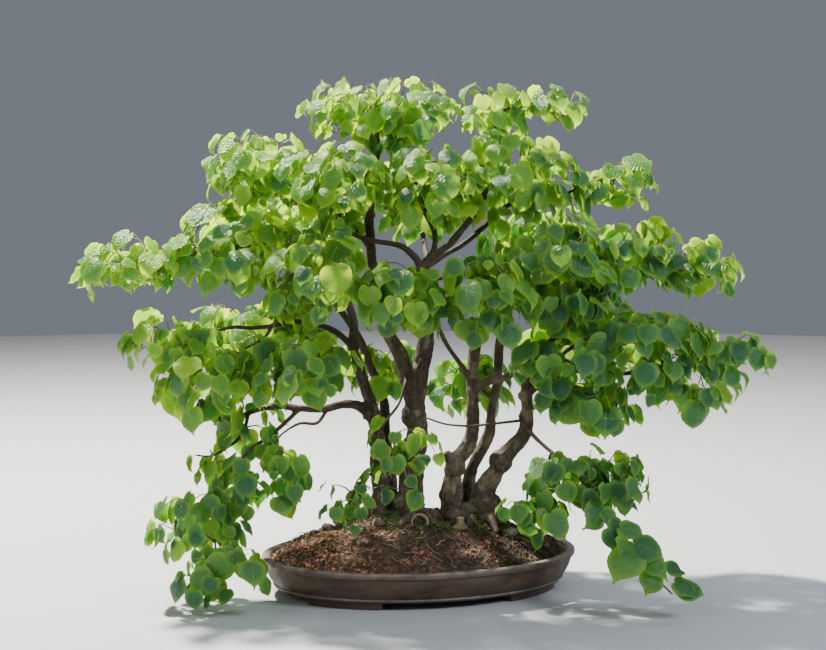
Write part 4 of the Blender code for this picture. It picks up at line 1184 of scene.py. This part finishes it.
# %% Leaf: the blade
# the right-hand margin of a blade of length 1, from the notch round to the tip, and the midrib beside it
MARGIN = [
    (0.110, -0.080), (0.270, -0.085), (0.405, 0.010), (0.480, 0.150), (0.500, 0.310), (0.468, 0.470),
    (0.385, 0.625), (0.265, 0.755), (0.130, 0.848), (0.040, 0.915), (0.0, 1.0),
]
MIDRIB = [0.0, 0.03, 0.10, 0.20, 0.32, 0.44, 0.57, 0.69, 0.80, 0.89, 1.0]
HALFWAY = 0.56
TOOTH = 0.016
PETIOLE_REACH = (0.0, 0.14, 0.36)  # from the petiole's foot to the blade's base, in blade lengths
PETIOLE_RADIUS = 0.012
PETIOLE_STEPS = 3
PETIOLE_SIDES = 3
TOOTH_PLACE = 0.6  # how far along each stretch of the margin its tooth stands


def bend(x, y, fold, dome, wave, curl, phase):
    """The height of the blade over its plane."""
    rise = fold * abs(x) + 0.30 * dome - dome * (1.1 * x * x + 0.75 * (y - 0.35) ** 2)
    ripple = wave * math.sin(9 * y + phase + (1.3 if x > 0 else 0)) * abs(x) ** 1.5
    return rise + ripple - curl * max(0.0, y - 0.7) ** 2 * 5


def leaf_shape(name, width, fold, dome, wave, curl, phase):
    """One leaf of blade length 1, its tip along +Y and its upper side facing +Z."""
    form = bmesh.new()
    blade = form.verts.layers.float_vector.new("blade")

    def corner(x, y):
        z = bend(x, y, fold, dome, wave, curl, phase)
        vertex = form.verts.new((x * width + PETIOLE_REACH[0], y + PETIOLE_REACH[1], z + PETIOLE_REACH[2]))
        vertex[blade] = (x, y, 1)
        return vertex

    ribs = [corner(0, y) for y in MIDRIB]
    for side in (-1, 1):
        rims = [corner(side * x, y) for x, y in MARGIN[:-1]] + [ribs[-1]]
        halves = [
            corner(side * x * HALFWAY, m + (y - m) * HALFWAY) for (x, y), m in zip(MARGIN[:-1], MIDRIB)
        ] + [ribs[-1]]
        for i in range(len(MARGIN) - 1):
            (xa, ya), (xb, yb) = MARGIN[i], MARGIN[i + 1]
            length = math.hypot(xb - xa, yb - ya)
            tooth = corner(
                side * (xa + TOOTH_PLACE * (xb - xa) + TOOTH * (yb - ya) / length),
                ya + TOOTH_PLACE * (yb - ya) - TOOTH * (xb - xa) / length,
            )
            inner = [ribs[i], halves[i], halves[i + 1], ribs[i + 1]]
            outer = [halves[i], rims[i], tooth, rims[i + 1], halves[i + 1]]
            for corners in (inner, outer):
                corners = list(dict.fromkeys(corners))
                form.faces.new(corners if side > 0 else corners[::-1])
    rings = []
    for k in range(PETIOLE_STEPS + 1):
        t = k / PETIOLE_STEPS
        base = Vector(PETIOLE_REACH) + Vector((0, 0, bend(0, 0, fold, dome, wave, curl, phase)))
        centre = base * t + Vector((0, -0.06, 0.04)) * math.sin(math.pi * t)
        ring = []
        for i in range(PETIOLE_SIDES):
            angle = math.tau * i / PETIOLE_SIDES
            out = Vector((math.cos(angle), math.sin(angle) * 0.8, -math.sin(angle) * 0.6)) * PETIOLE_RADIUS
            vertex = form.verts.new(centre + out)
            vertex[blade] = (0, -0.3 * (1 - t), 0)
            ring.append(vertex)
        rings.append(ring)
    bridge(form, rings)
    for polygon in form.faces:
        polygon.smooth = True
    return bpy.data.objects.new(name, mesh_from(name, form))


LEAF_BENDS = [  # width, fold, dome, wave, curl, phase
    (1.00, 0.08, 0.50, 0.08, 0.3, 0.0), (0.94, 0.26, 0.70, 0.12, 0.5, 1.1),
    (1.04, 0.00, 0.38, 0.16, 0.2, 2.3), (0.88, 0.46, 0.60, 0.08, 0.9, 3.0),
    (1.02, -0.10, 0.62, 0.14, 0.4, 4.2), (0.98, 0.16, 0.85, 0.12, 0.1, 5.1),
    (1.00, 0.30, 0.20, 0.20, -0.5, 0.7),
]
leaf_shapes = shape_collection(
    "leaf_shapes", [leaf_shape(f"leaf_{k}", *bends) for k, bends in enumerate(LEAF_BENDS)]
)

# %% [markdown]
# A leaf scatters light on its waxy upper side and lets a yellower light through. The finish mixes a
# Principled shader with a Translucent one for that glow. The veins run from the midrib at a steady slant,
# drawn from the blade's own coordinates. Each leaf has a tint that is partly its own and partly painted
# light: leaves high up, on the left and towards the twig tips are painted yellow-green as if sunlit, and
# those low on the right deep green as if shaded. The margins are painted lighter and glow more than the
# centres, as a painted rim light.

# %% Leaf: finish
VEINS = 7.0
leaf_green, tree, shader = new_finish("lime_leaf")
blade = painted(tree, "blade", "Vector")
tint = painted(tree, "tint")
parts = add_node(tree, "ShaderNodeSeparateXYZ", {0: blade})
place = object_place(tree)
aside = calculate(tree, "ABSOLUTE", parts.outputs["X"])
slant = calculate(tree, "MULTIPLY_ADD", aside, -0.75, parts.outputs["Y"])
ripple = calculate(tree, "COSINE", multiply(tree, slant, VEINS * math.pi))
lateral = stretched(tree, calculate(tree, "ABSOLUTE", ripple), 0.93, 1.0)
vein = calculate(tree, "MAXIMUM", lateral, stretched(tree, aside, 0.024, 0.006))
# the tint, and so this ramp, carries painted light as well as each leaf's own tone
ramp = colour_ramp(
    tree, tint,
    [(0.0, (0.018, 0.082, 0.062)), (0.28, (0.036, 0.145, 0.064)), (0.60, (0.080, 0.260, 0.038)),
     (1.0, (0.280, 0.500, 0.026))],
)
mottle = multiply(tree, noise_factor(tree, place, 140, 3, 0.40, 0.70), 0.22)
green = blend_colours(tree, mottle, ramp, (0.030, 0.130, 0.035, 1))
# painted rim light: the blade is painted lighter and yellower towards its margin, as if the sun shone through
# its thin edges
out = add_node(tree, "ShaderNodeVectorMath", {0: blade, 1: (0.0, 0.38, 1.0)}, operation="DISTANCE")
margin = stretched(tree, out.outputs["Value"], 0.30, 0.52)
green = blend_colours(tree, multiply(tree, margin, 0.5), green, (0.270, 0.500, 0.030, 1))
green = blend_colours(tree, multiply(tree, vein, 0.50), green, (0.250, 0.440, 0.120, 1))
stalk = calculate(tree, "SUBTRACT", 1.0, parts.outputs["Z"])
green = blend_colours(tree, stalk, green, (0.260, 0.360, 0.070, 1))
wire(tree, shader, {"Base Color": green, "Roughness": 0.26, "Specular IOR Level": 0.45})
crinkle = noise(tree, place, 320, 3)
quilt = calculate(tree, "MULTIPLY_ADD", vein, -0.55, crinkle)
bumpy(tree, shader, quilt, 0.9, 0.0022)
# painted rim light and shade: the glow is brighter at the margin and dimmer at the shaded centre
glow = blend_colours(
    tree, margin,
    colour_ramp(tree, tint, [(0.0, (0.050, 0.240, 0.022)), (1.0, (0.440, 0.740, 0.016))]),
    colour_ramp(tree, tint, [(0.0, (0.170, 0.520, 0.014)), (1.0, (0.900, 0.980, 0.016))]),
)
shine_through = add_node(tree, "ShaderNodeBsdfTranslucent", {"Color": glow})
leaf_mix = add_node(
    tree, "ShaderNodeMixShader", {"Fac": 0.50, 1: shader.outputs[0], 2: shine_through.outputs[0]}
)
tree.links.new(leaf_mix.outputs[0], tree.nodes["Material Output"].inputs["Surface"])

young_bark, tree, shader = new_finish("twig_bark")
place = object_place(tree)
skin = blend_colours(
    tree, noise_factor(tree, place, 120, 4, 0.35, 0.65), (0.085, 0.052, 0.036, 1), (0.210, 0.155, 0.115, 1)
)
wire(tree, shader, {"Base Color": skin, "Roughness": 0.65})
bumpy(tree, shader, noise(tree, place, 1400), 0.4, 0.0004)
print("leaf and twig finishes made")

# %% [markdown]
# The twigs are grown, not drawn. In the space that each cluster of leaves fills, tips are spread evenly.
# Each tip, nearest first, is joined to the closest wood grown so far by a zigzag twig that arches and
# sags. Leaves stand along it by turns, left and right, as on a real lime, and along the thin limbs too.
# Each hangs with its tip down and its face turned outwards and up.

# %% Leaves: growing the twigs
rng = np.random.default_rng(2024)
LEAF_LENGTH = 0.0335
INTERNODE = 0.0125
TIP_CANDIDATES = 20
TIPS_LEAST = 6
TIPS_PER_LITRE = 19.0
SPURS = 0.30  # short shoots straight from the wood, as a share of the tips
LOW = 0.10  # clusters centred lower than this, over the soil, have none
SLIM = 0.0085  # wood thinner than this bears twigs
LEAFY = 0.0027  # and thinner than this bears leaves
LIMB_REACH = 1.3  # such a limb's leaves join a cluster this near, in the cluster's half sizes
CLUSTER_REACH = 1.12  # how far round a cluster the wood that feeds it is looked for
ELLIPSOID_SHARE = 0.52  # of the box round it
SHORTEST_TWIG = 0.007
TWIG_FROM_WOOD = 0.0015
TWIG_FROM_TWIG = 0.0010
TWIG_END = 0.0006
TWIG_ARCH = 0.14  # rise over its length
ZIGZAG = 0.0016
UNEVENNESS = 0.0007
# clusters that are thinner or fuller than the rest, as a share of the usual number of tips
FULLNESS = {
    "leaves_right_trail": 0.0, "leaves_front": 0.45, "leaves_front_left": 0.55, "leaves_bottom_left_tip": 0.8,
    "leaves_rear_gap": 0.7, "leaves_rear_middle": 0.7, "leaves_top_tip": 0.9, "leaves_far_right": 0.8,
    "leaves_right_drop": 0.8, "leaves_bottom_right": 1.15, "leaves_right_sprig": 0.9,
    "leaves_upper_middle": 1.3, "leaves_upper_front": 1.3, "leaves_middle": 1.2, "leaves_rear_top": 1.2,
    "leaves_top_middle": 1.2,
}
limb_list = [limb for limbs in stems.values() for limb in limbs]
wood_points = to_tree(np.concatenate([limb.points for limb in limb_list]))
wood_radius = np.concatenate([limb.radius for limb in limb_list])


def unit(vector):
    """The vector at length 1."""
    return vector / (np.linalg.norm(vector) + 1e-9)


def cluster_space(name):
    """Centre and half sizes, in the tree's frame, of the space that a cluster of leaves fills."""
    mesh = frame["nodes"][name].data
    corners = to_tree([tuple(v.co) for v in mesh.vertices])
    low, high = corners.min(axis=0), corners.max(axis=0)
    return (low + high) / 2, (high - low) / 2


def spread_tips(centre, halves, count):
    """Places for twig tips, each as far as can be from the others, more of them near the outside."""
    tips = []
    while len(tips) < count:
        best, best_score = None, -1
        for _ in range(TIP_CANDIDATES):
            place = centre + halves * unit(rng.normal(size=3)) * rng.random() ** 0.36 * (0.84, 0.84, 0.76)
            place[2] += 0.20 * halves[2]
            score = min((np.linalg.norm((place - tip) / halves) for tip in tips), default=1.0)
            if score > best_score:
                best, best_score = place, score
        tips.append(best)
    return tips


def grow_twig(start, tip, thick, bare):
    """A zigzag twig from one place to another, and where leaves leave it."""
    length = np.linalg.norm(tip - start)
    count = max(2, round(length / INTERNODE))
    side = unit(np.cross(tip - start, (0, 0, 1.0)) + rng.normal(size=3) * 0.05 * length)
    line, leaves = [], []
    for k in range(count + 1):
        t = k / count
        point = start + (tip - start) * t
        point = point + np.array([0, 0, TWIG_ARCH * length * math.sin(math.pi * min(1, t * 1.15))])
        zigzag = (k % 2 * 2 - 1) * ZIGZAG if 0 < k < count else 0
        line.append(point + side * zigzag + rng.normal(size=3) * UNEVENNESS * min(k, 1))
    for k in range(1 + bare, count + 1):
        leaves.append((line[k], side * (k % 2 * 2 - 1), (tip - start) / length, k / count))
    return (line, np.linspace(thick, TWIG_END, len(line))), leaves


def grow_cluster(name):
    """A cluster's twigs, and where its leaves leave them."""
    centre, halves = cluster_space(name)
    near = np.linalg.norm((wood_points - centre) / (halves * CLUSTER_REACH), axis=1) < 1
    bearing = near & (wood_radius < SLIM)
    if bearing.sum() < 2:
        reach = np.linalg.norm(wood_points - centre, axis=1) + 10 * (wood_radius >= SLIM)
        bearing = np.zeros(len(reach), bool)
        bearing[np.argsort(reach)[:3]] = True
    network = list(wood_points[bearing][::3])
    wood_count = len(network)
    litres = 8 * np.prod(halves) * ELLIPSOID_SHARE * 1000
    count = round((TIPS_LEAST + TIPS_PER_LITRE * litres) * FULLNESS.get(name, 1.0))
    tips = spread_tips(centre, halves, count)
    for _ in range(round(SPURS * count) if centre[2] > LOW else 0):
        sprout = network[rng.integers(wood_count)]
        tips.append(sprout + unit(rng.normal(size=3) + (0, -0.5, 0.4)) * rng.uniform(0.018, 0.032))
    tips.sort(key=lambda tip: min(np.linalg.norm(tip - node) for node in network))
    twigs, leaves = [], []
    for tip in tips:
        gaps = [np.linalg.norm(tip - node) for node in network]
        root = int(np.argmin(gaps))
        if gaps[root] < SHORTEST_TWIG:
            continue
        from_wood = root < wood_count
        bare = 1 if gaps[root] > 0.03 and from_wood else 0
        thick = TWIG_FROM_WOOD if from_wood else TWIG_FROM_TWIG
        twig, twig_leaves = grow_twig(network[root], tip, thick, bare)
        twigs.append(twig)
        leaves += twig_leaves
        network += twig[0][1:]
    return centre, halves, twigs, leaves


clusters = {name: grow_cluster(name) for name in frame["nodes"] if name.startswith("leaves_")}
# a thin shoot arches out in front of the main stem's foot and holds three large leaves
FRONT_SHOOT = np.array([
    (-0.068, -0.034, -0.004), (-0.070, -0.050, 0.034), (-0.065, -0.064, 0.052), (-0.052, -0.076, 0.058),
    (-0.036, -0.084, 0.055), (-0.020, -0.086, 0.054), (-0.008, -0.086, 0.051),
])
_, _, front_twigs, front_leaves = clusters["leaves_front"]
front_twigs.append((list(FRONT_SHOOT), np.linspace(0.0014, 0.0007, len(FRONT_SHOOT))))
for place, hand in ((2, (-0.5, -0.9, 0)), (4, (-0.1, -1.0, 0)), (6, (0.2, -1.0, 0))):
    front_leaves.append((FRONT_SHOOT[place], np.array(hand), np.array([0.3, -0.5, 0.0]), -0.4))
for limb in limb_list:  # leaves straight on the thin limbs, in the cluster they pass through
    places = to_tree(limb.points)
    ahead = np.gradient(places, axis=0)
    last_run, hand = -1.0, 1
    for k in range(len(places)):
        at_tip = k == len(places) - 1
        if limb.radius[k] > LEAFY or (limb.run[k] - last_run < INTERNODE and not at_tip):
            continue
        reach = {n: np.linalg.norm((places[k] - c[0]) / c[1]) for n, c in clusters.items()}
        name = min(reach, key=reach.get)
        if reach[name] < LIMB_REACH:
            side = unit(np.cross(ahead[k], (0, 0, 1.0)))
            turned_to = side * (0 if at_tip else hand)
            clusters[name][3].append((places[k], turned_to, unit(ahead[k]), limb.run[k] / limb.run[-1]))
            last_run, hand = limb.run[k], -hand
print(len(clusters), "clusters,", sum(len(c[2]) for c in clusters.values()), "twigs,",
      sum(len(c[3]) for c in clusters.values()), "leaf places")

# %% Leaves: hanging them
CROWN_LOW, CROWN_HIGH = (np.array(c) for c in cad_box)
OVER_BOX = 0.008
LEAST_OFF_FLOOR = 0.004
TRIES = 4  # turns tried for a leaf before its place is left bare
STEEPNESS_SPREAD = 17
STEEPNESS_LIMITS = (-12, 82)
SWING = 24
WOOD_CLEARANCE = 0.006
POT_CLEARANCE = 0.006
thick_wood = wood_radius > 0.0055
thick_tree = kdtree.KDTree(int(thick_wood.sum()))
for index, point in enumerate(wood_points[thick_wood]):
    thick_tree.insert(point, index)
thick_tree.balance()
thick_radius = wood_radius[thick_wood]


def hang_leaf(foot, hand, along, centre, halves, steepness, trailing):
    """The turn of a leaf: columns are its right, its tip direction and its upper side's normal."""
    out = unit((foot - centre) / halves * (1, 1, 0))
    around = unit(foot * (1, 1, 0))
    facing = out * 0.9 + around * 0.5 + hand * 0.55 + along * (0.35, 0.35, 0) + rng.normal(size=3) * 0.30
    facing = unit(facing * (1, 1, 0))
    rise = math.radians(np.clip(rng.normal(steepness, STEEPNESS_SPREAD), *STEEPNESS_LIMITS))
    normal = unit(facing * math.cos(rise) + np.array([0, 0, math.sin(rise)]))
    down = unit(np.array([0, 0, -1.0]) + facing * 0.12)
    if trailing:  # the leaves of a trailing shoot lie along it
        down = unit(along + hand * 0.95 - np.array([0, 0, 0.25]) * hand.any())
        normal = unit(np.array([0.15, -0.75, 0.70]) + rng.normal(size=3) * 0.26)
    tip = unit(down - normal * down.dot(normal))
    swing = math.radians(rng.normal(0, SWING))
    tip = unit(tip * math.cos(swing) + np.cross(normal, tip) * math.sin(swing))
    return np.stack([np.cross(tip, normal), tip, normal], axis=1)


LEAF_PROBES = np.array(PETIOLE_REACH) + [(0, 0, 0), (0, 0.5, 0.1), (0, 1.0, 0), (0.5, 0.3, 0), (-0.5, 0.3, 0)]


def clear_of_all(foot, turn, length):
    """True if the leaf stays in the crown's box and off the floor, the pot, the soil and the stems."""
    spots = foot + length * LEAF_PROBES @ turn.T
    row = to_row(spots)
    lowest = CROWN_LOW + (-OVER_BOX, -OVER_BOX, LEAST_OFF_FLOOR)
    if (row < lowest).any() or (row > CROWN_HIGH + OVER_BOX).any():
        return False
    share_x = row[:, 0] / (POT_HALF_LENGTH + POT_CLEARANCE)
    share_y = row[:, 1] / (POT_HALF_DEPTH + POT_CLEARANCE)
    over_soil = row[:, 2] > np.maximum(mound_height(row[:, 0], row[:, 1]), RIM_TOP) + POT_CLEARANCE
    if ((np.hypot(share_x, share_y) < 1) & ~over_soil).any():
        return False
    for spot in spots[:3]:
        _, index, gap = thick_tree.find(spot)
        if gap < thick_radius[index] + WOOD_CLEARANCE:
            return False
    return True


LOW_CLUSTERS = (
    "leaves_bottom_left", "leaves_bottom_left_tip", "leaves_bottom_left_upper", "leaves_front_left",
    "leaves_front", "leaves_bottom_right", "leaves_right_trail", "leaves_right_over_soil",
)
YOUNG_CLUSTERS = ("leaves_front", "leaves_front_left")
YOUNG_SIZE = 0.76  # the size of their leaves beside the rest
TRAIL = "leaves_right_trail"  # a long shoot whose large leaves lie along it
TRAIL_SIZE = 1.15
SIZE_SPREAD = 0.20


def hang_cluster(name):
    """The feet, turns, sizes, shapes and tints of a cluster's leaves."""
    centre, halves, _, leaves = clusters[name]
    height = np.clip((centre[2] + 0.05) / 0.65, 0, 1)
    low = name in LOW_CLUSTERS
    steepness = 14 if low else 16 + 14 * height
    hung = []
    for foot, hand, along, reach in leaves:
        usual = (1.02 if low else 1.16 - 0.22 * height) * (1.12 - 0.40 * reach)
        if name in YOUNG_CLUSTERS:
            usual *= YOUNG_SIZE
        trailing = name == TRAIL
        if trailing:
            usual = TRAIL_SIZE
        smallest = 0.92 if trailing else 0.55
        for _ in range(TRIES):
            length = LEAF_LENGTH * usual * np.clip(rng.normal(1.0, SIZE_SPREAD), smallest, 1.5)
            turn = hang_leaf(foot, hand, along, centre, halves, steepness, trailing)
            if clear_of_all(foot, turn, length):
                break
        else:
            continue
        above = (foot[2] - centre[2]) / halves[2]
        # painted light: the tint is lighter high up, on the left, near a cluster's top and towards a twig's
        # tip, and darker low on the right, as sunlit and shaded leaves; the random part is each leaf's own
        # tone
        tint = 0.10 + 0.42 * height - 0.32 * foot[0] + 0.20 * above + 0.16 * (reach - 0.6)
        tint = np.clip(tint + rng.normal(0.02, 0.20), 0.02, 1)
        angles = Matrix((TURN @ turn).tolist()).to_euler()
        hung.append((to_row([foot])[0], angles, length, rng.integers(len(LEAF_BENDS)), tint))
    return hung


hung = {name: hang_cluster(name) for name in clusters}
print(sum(len(leaves) for leaves in hung.values()), "leaves hang on the tree")

# %% [markdown]
# The second node tree sets a leaf on each point of a cloud of points, turned, sized and tinted as the
# point's attributes say. The third sweeps a twig's skin along each line of points.

# %% Leaves: making them
place_leaves, inside, outside = new_tree("leaves_on_points", Shapes="Collection", Finish="Material")
turn = named(place_leaves, "turn", "FLOAT_VECTOR")
turned = add_node(place_leaves, "FunctionNodeEulerToRotation", {0: turn})
placed = add_node(
    place_leaves, "GeometryNodeInstanceOnPoints",
    {"Points": inside.outputs["Geometry"], "Instance": shapes_from(place_leaves, inside),
     "Pick Instance": True, "Instance Index": named(place_leaves, "shape", "INT"),
     "Rotation": turned.outputs[0], "Scale": named(place_leaves, "size")},
)
close_tree(place_leaves, placed.outputs[0], inside, outside)


def leaf_piece(name, leaves):
    """One cluster's leaves as one piece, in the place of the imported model's lump."""
    cloud = bpy.data.meshes.new(name)
    cloud.from_pydata([tuple(foot) for foot, *_ in leaves], [], [])
    set_attribute(cloud, "turn", [tuple(turn) for _, turn, *_ in leaves], "FLOAT_VECTOR")
    set_attribute(cloud, "size", [leaf[2] for leaf in leaves])
    set_attribute(cloud, "shape", [leaf[3] for leaf in leaves], "INT")
    set_attribute(cloud, "tint", [leaf[4] for leaf in leaves])
    points = linked(name + "_points", cloud)
    mesh = run_tree(points, place_leaves, Shapes=leaf_shapes, Finish=leaf_green)
    bpy.data.objects.remove(points)
    return keep(linked(name + "_on_twigs", mesh), "leaf", name)


leaf_faces = sum(len(leaf_piece(name, leaves).data.polygons) for name, leaves in hung.items())
print("leaf faces", leaf_faces)

# %% Leaves: their twigs
sweep, inside, outside = new_tree("tubes_on_lines", Facets="Int", Finish="Material")
lines = add_node(sweep, "GeometryNodeMeshToCurve", {"Mesh": inside.outputs["Geometry"]})
ring = add_node(
    sweep, "GeometryNodeCurvePrimitiveCircle", {"Resolution": inside.outputs["Facets"], "Radius": 1.0}
)
tubes = add_node(
    sweep, "GeometryNodeCurveToMesh",
    {"Curve": lines.outputs[0], "Profile Curve": ring.outputs["Curve"], "Scale": named(sweep, "thickness"),
     "Fill Caps": True},
)
close_tree(sweep, tubes.outputs[0], inside, outside)


def swept(name, lines, finish, slot, facets):
    """A piece of tubes along lines of points, each with its radii."""
    points, edges, radii = [], [], []
    for line, line_radii in lines:
        first = len(points)
        points += [tuple(p) for p in line]
        radii += list(line_radii)
        edges += [(first + k, first + k + 1) for k in range(len(line) - 1)]
    mesh = bpy.data.meshes.new(name)
    mesh.from_pydata(points, edges, [])
    set_attribute(mesh, "thickness", radii)
    skeleton = linked(name + "_lines", mesh)
    tubes = run_tree(skeleton, sweep, Facets=facets, Finish=finish)
    bpy.data.objects.remove(skeleton)
    tubes.shade_smooth()
    keep(linked(name, tubes), slot)
    print(name, len(tubes.polygons), "faces")


twig_lines = [(to_row(line), radii) for _, _, twigs, _ in clusters.values() for line, radii in twigs]
swept("fine_twigs", twig_lines, young_bark, "bark", 6)

# %% [markdown]
# The ground under the tree is what makes it look old. Moss grows in short tufts in the damp places,
# hair roots curl over the granules, and a few stones and a cut root lie about. The tufts use the
# scattering tree again, and the hair roots use the sweeping one.

# %% Ground: moss
moss_green, tree, shader = new_finish("cushion_moss")
tint = painted(tree, "tint")
fresh = blend_colours(tree, tint, (0.030, 0.048, 0.010, 1), (0.130, 0.170, 0.035, 1))
wire(tree, shader, {"Base Color": fresh, "Roughness": 0.9})
TUFT_BLADES = 7


def moss_tuft(name, seed):
    """A tuft of short pointed blades that lean outwards, of unit height."""
    rng = np.random.default_rng(seed)
    form = bmesh.new()
    for k in range(TUFT_BLADES):
        angle = math.tau * (k + rng.random()) / TUFT_BLADES
        lean = 0.15 + 0.75 * rng.random()
        out = Vector((math.cos(angle), math.sin(angle), 0))
        across = Vector((-out.y, out.x, 0)) * 0.16
        foot = out * 0.15
        knee = out * (0.15 + 0.45 * lean) + Vector((0, 0, 0.55))
        tip = out * (0.2 + lean) + Vector((0, 0, 1.0 - 0.35 * lean))
        corners = (foot - across, foot + across, knee + across, knee - across, tip)
        a, b, c, d, e = (form.verts.new(place) for place in corners)
        form.faces.new((a, b, c, d))
        form.faces.new((d, c, e))
    return bpy.data.objects.new(name, mesh_from(name, form))


tufts = shape_collection("moss_tufts", [moss_tuft(f"tuft_{k}", 60 + k) for k in range(4)])
scattered(
    "moss", soil, on_top * moss, "soil",
    Density=150000.0, Smallest=0.0016, Largest=0.0042, Tilt=0.25, Seed=9, Shapes=tufts, Finish=moss_green,
)

# %% Ground: chips of bark
chips = shape_collection("chips", [crumb(f"chip_{k}", 40 + k) for k in range(4)])
for chip in chips.objects:
    chip.data.transform(Matrix.Diagonal((1.0, 0.62, 0.34, 1.0)))
scattered(
    "bark_chips", soil, on_top * (1 - moss), "soil",
    Density=5200.0, Smallest=0.0025, Largest=0.0052, Tilt=0.5, Seed=14, Shapes=chips, Finish=grit,
)

# %% Ground: hair roots
FIBRES = 150
FIBRE_STEP = 0.0022
FIBRE_INSET = 0.018
rng = np.random.default_rng(77)
hair_root, tree, shader = new_finish("hair_root")
place = object_place(tree)
straw = blend_colours(
    tree, noise_factor(tree, place, 60, 3, 0.35, 0.65), (0.110, 0.062, 0.036, 1), (0.330, 0.225, 0.145, 1)
)
wire(tree, shader, {"Base Color": straw, "Roughness": 0.7})


def hair_root_line():
    """A root that wanders over the mound, now on it and now arching off it."""
    angle = rng.random() * math.tau
    share = 0.12 + 0.80 * math.sqrt(rng.random())
    end = np.array([POT_HALF_LENGTH * share * math.cos(angle), POT_HALF_DEPTH * share * math.sin(angle)])
    heading = rng.random() * math.tau
    bend_rate = rng.normal(0, 9)
    steps = rng.integers(10, 22)
    lift = rng.uniform(0.001, 0.0055)
    line = []
    for k in range(steps):
        arch = math.sin(math.pi * k / (steps - 1))
        ground = soil_surface(end[:1], end[1:])[0]
        line.append((end[0], end[1], ground + 0.0006 + lift * arch))
        heading += bend_rate * FIBRE_STEP * 10 + rng.normal(0, 0.22)
        end = end + FIBRE_STEP * np.array([math.cos(heading), math.sin(heading)])
    half_length, half_depth = POT_HALF_LENGTH - FIBRE_INSET, POT_HALF_DEPTH - FIBRE_INSET
    return [place for place in line if math.hypot(place[0] / half_length, place[1] / half_depth) < 1]


fibres = [line for line in (hair_root_line() for _ in range(FIBRES)) if len(line) > 4]
swept(
    "hair_roots", [(line, np.linspace(rng.uniform(0.0004, 0.0009), 0.0003, len(line))) for line in fibres],
    hair_root, "bark", 5,
)

# %% Ground: stones
STONE_SUBDIVISIONS = 5
STONE_FLATS = 9
pebble, tree, shader = new_finish("weathered_stone")
place = object_place(tree)
grey = blend_colours(
    tree, noise_factor(tree, place, 130, 6, 0.35, 0.65), (0.105, 0.078, 0.060, 1), (0.300, 0.250, 0.205, 1)
)
grey = blend_colours(tree, noise_factor(tree, place, 420, 4, 0.58, 0.68), grey, (0.055, 0.048, 0.042, 1))
dark = painted(tree, "dark")
grey = blend_colours(tree, dark, grey, (0.028, 0.024, 0.022, 1))
wire(tree, shader, {"Base Color": grey, "Roughness": 0.85})
bumpy(tree, shader, noise(tree, place, 900, 5), 0.6, 0.0007)


def weathered_stone(name, seed):
    """A stone in its CAD node's space: broken flats, rounded edges and pits."""
    centre, halves = cluster_space(name)
    rng = np.random.default_rng(seed)
    vertices, faces = ball(STONE_SUBDIVISIONS)
    for _ in range(STONE_FLATS):
        flat = unit(rng.normal(size=3))
        depth = rng.uniform(0.62, 0.88)
        over = np.clip(vertices @ flat - depth, 0, None)
        vertices = vertices - over[:, None] * flat * 0.92
    vertices /= np.abs(vertices).max(axis=0)
    pits = value_noise(vertices * 0.01 + seed, 0.0035) + 0.5 * value_noise(vertices * 0.01 + seed, 0.0014)
    vertices = vertices * (1 - 0.10 * pits[:, None])
    obj = plain_object(name + "_weathered", to_row(centre + vertices * halves), faces, pebble)
    set_attribute(obj.data, "dark", np.full(len(vertices), 0.8 if name == "stone_dark" else 0.0))
    keep(obj, "stone", name)


for seed, name in enumerate(sorted(n for n in frame["nodes"] if n.startswith("stone_"))):
    weathered_stone(name, 300 + seed)
print("stones weathered")

# %% Ground: the cut root and the looped root
def surface_at(u, w):
    """Height over the root crown of the mound's surface at a place of the tree's frame."""
    x, y, _ = to_row([(u, w, 0)])[0]
    return mound_height(np.array([x]), np.array([y]))[0] - SOIL_TOP


CUT_ROOT = (0.058, -0.052)
foot = surface_at(*CUT_ROOT)
cut_route = [(*CUT_ROOT, foot - 0.012), (*CUT_ROOT, foot), (0.0585, -0.0525, foot + 0.0135)]
cut_root = Limb(0.0084, 0.0078, cut_route, 3, SAWN)
bark_stem("cut_root", [cut_root], [((*CUT_ROOT, foot - 0.002), (0.011, 0.010, 0.006))])

LOOP_CENTRE = (0.000, -0.056)
LOOP_RADIUS = 0.0115
LOOP_THICKNESS = 0.0026
loop_foot = surface_at(*LOOP_CENTRE)
loop_route = []
for k in range(11):
    angle = math.radians(-30 + 24 * k)
    u = LOOP_CENTRE[0] + LOOP_RADIUS * math.cos(angle)
    loop_route.append((u, LOOP_CENTRE[1], loop_foot + 0.002 + LOOP_RADIUS * math.sin(angle)))
root_loop = Limb(LOOP_THICKNESS * 1.1, LOOP_THICKNESS, loop_route, 5)
bark_stem("root_loop", [root_loop], [], THICK / 2)

# %% [markdown]
# The drain screens are the CAD's own mesh and only need a finish: black moulded plastic, a little
# scuffed.

# %% Drain screens
screen_plastic, tree, shader = new_finish("screen_plastic")
place = object_place(tree)
scuffs = noise_factor(tree, place, 260, 4)
scuffed = blend_colours(tree, scuffs, (0.012, 0.012, 0.013, 1), (0.035, 0.034, 0.033, 1))
wire(tree, shader, {"Base Color": scuffed, "Roughness": 0.5})
for name in ("drain_screen_left", "drain_screen_right"):
    screen = frame["nodes"][name]
    if not screen.material_slots:
        screen.data.materials.append(screen_plastic)
    for material_slot in screen.material_slots:
        material_slot.material = screen_plastic
print("drain screens finished")
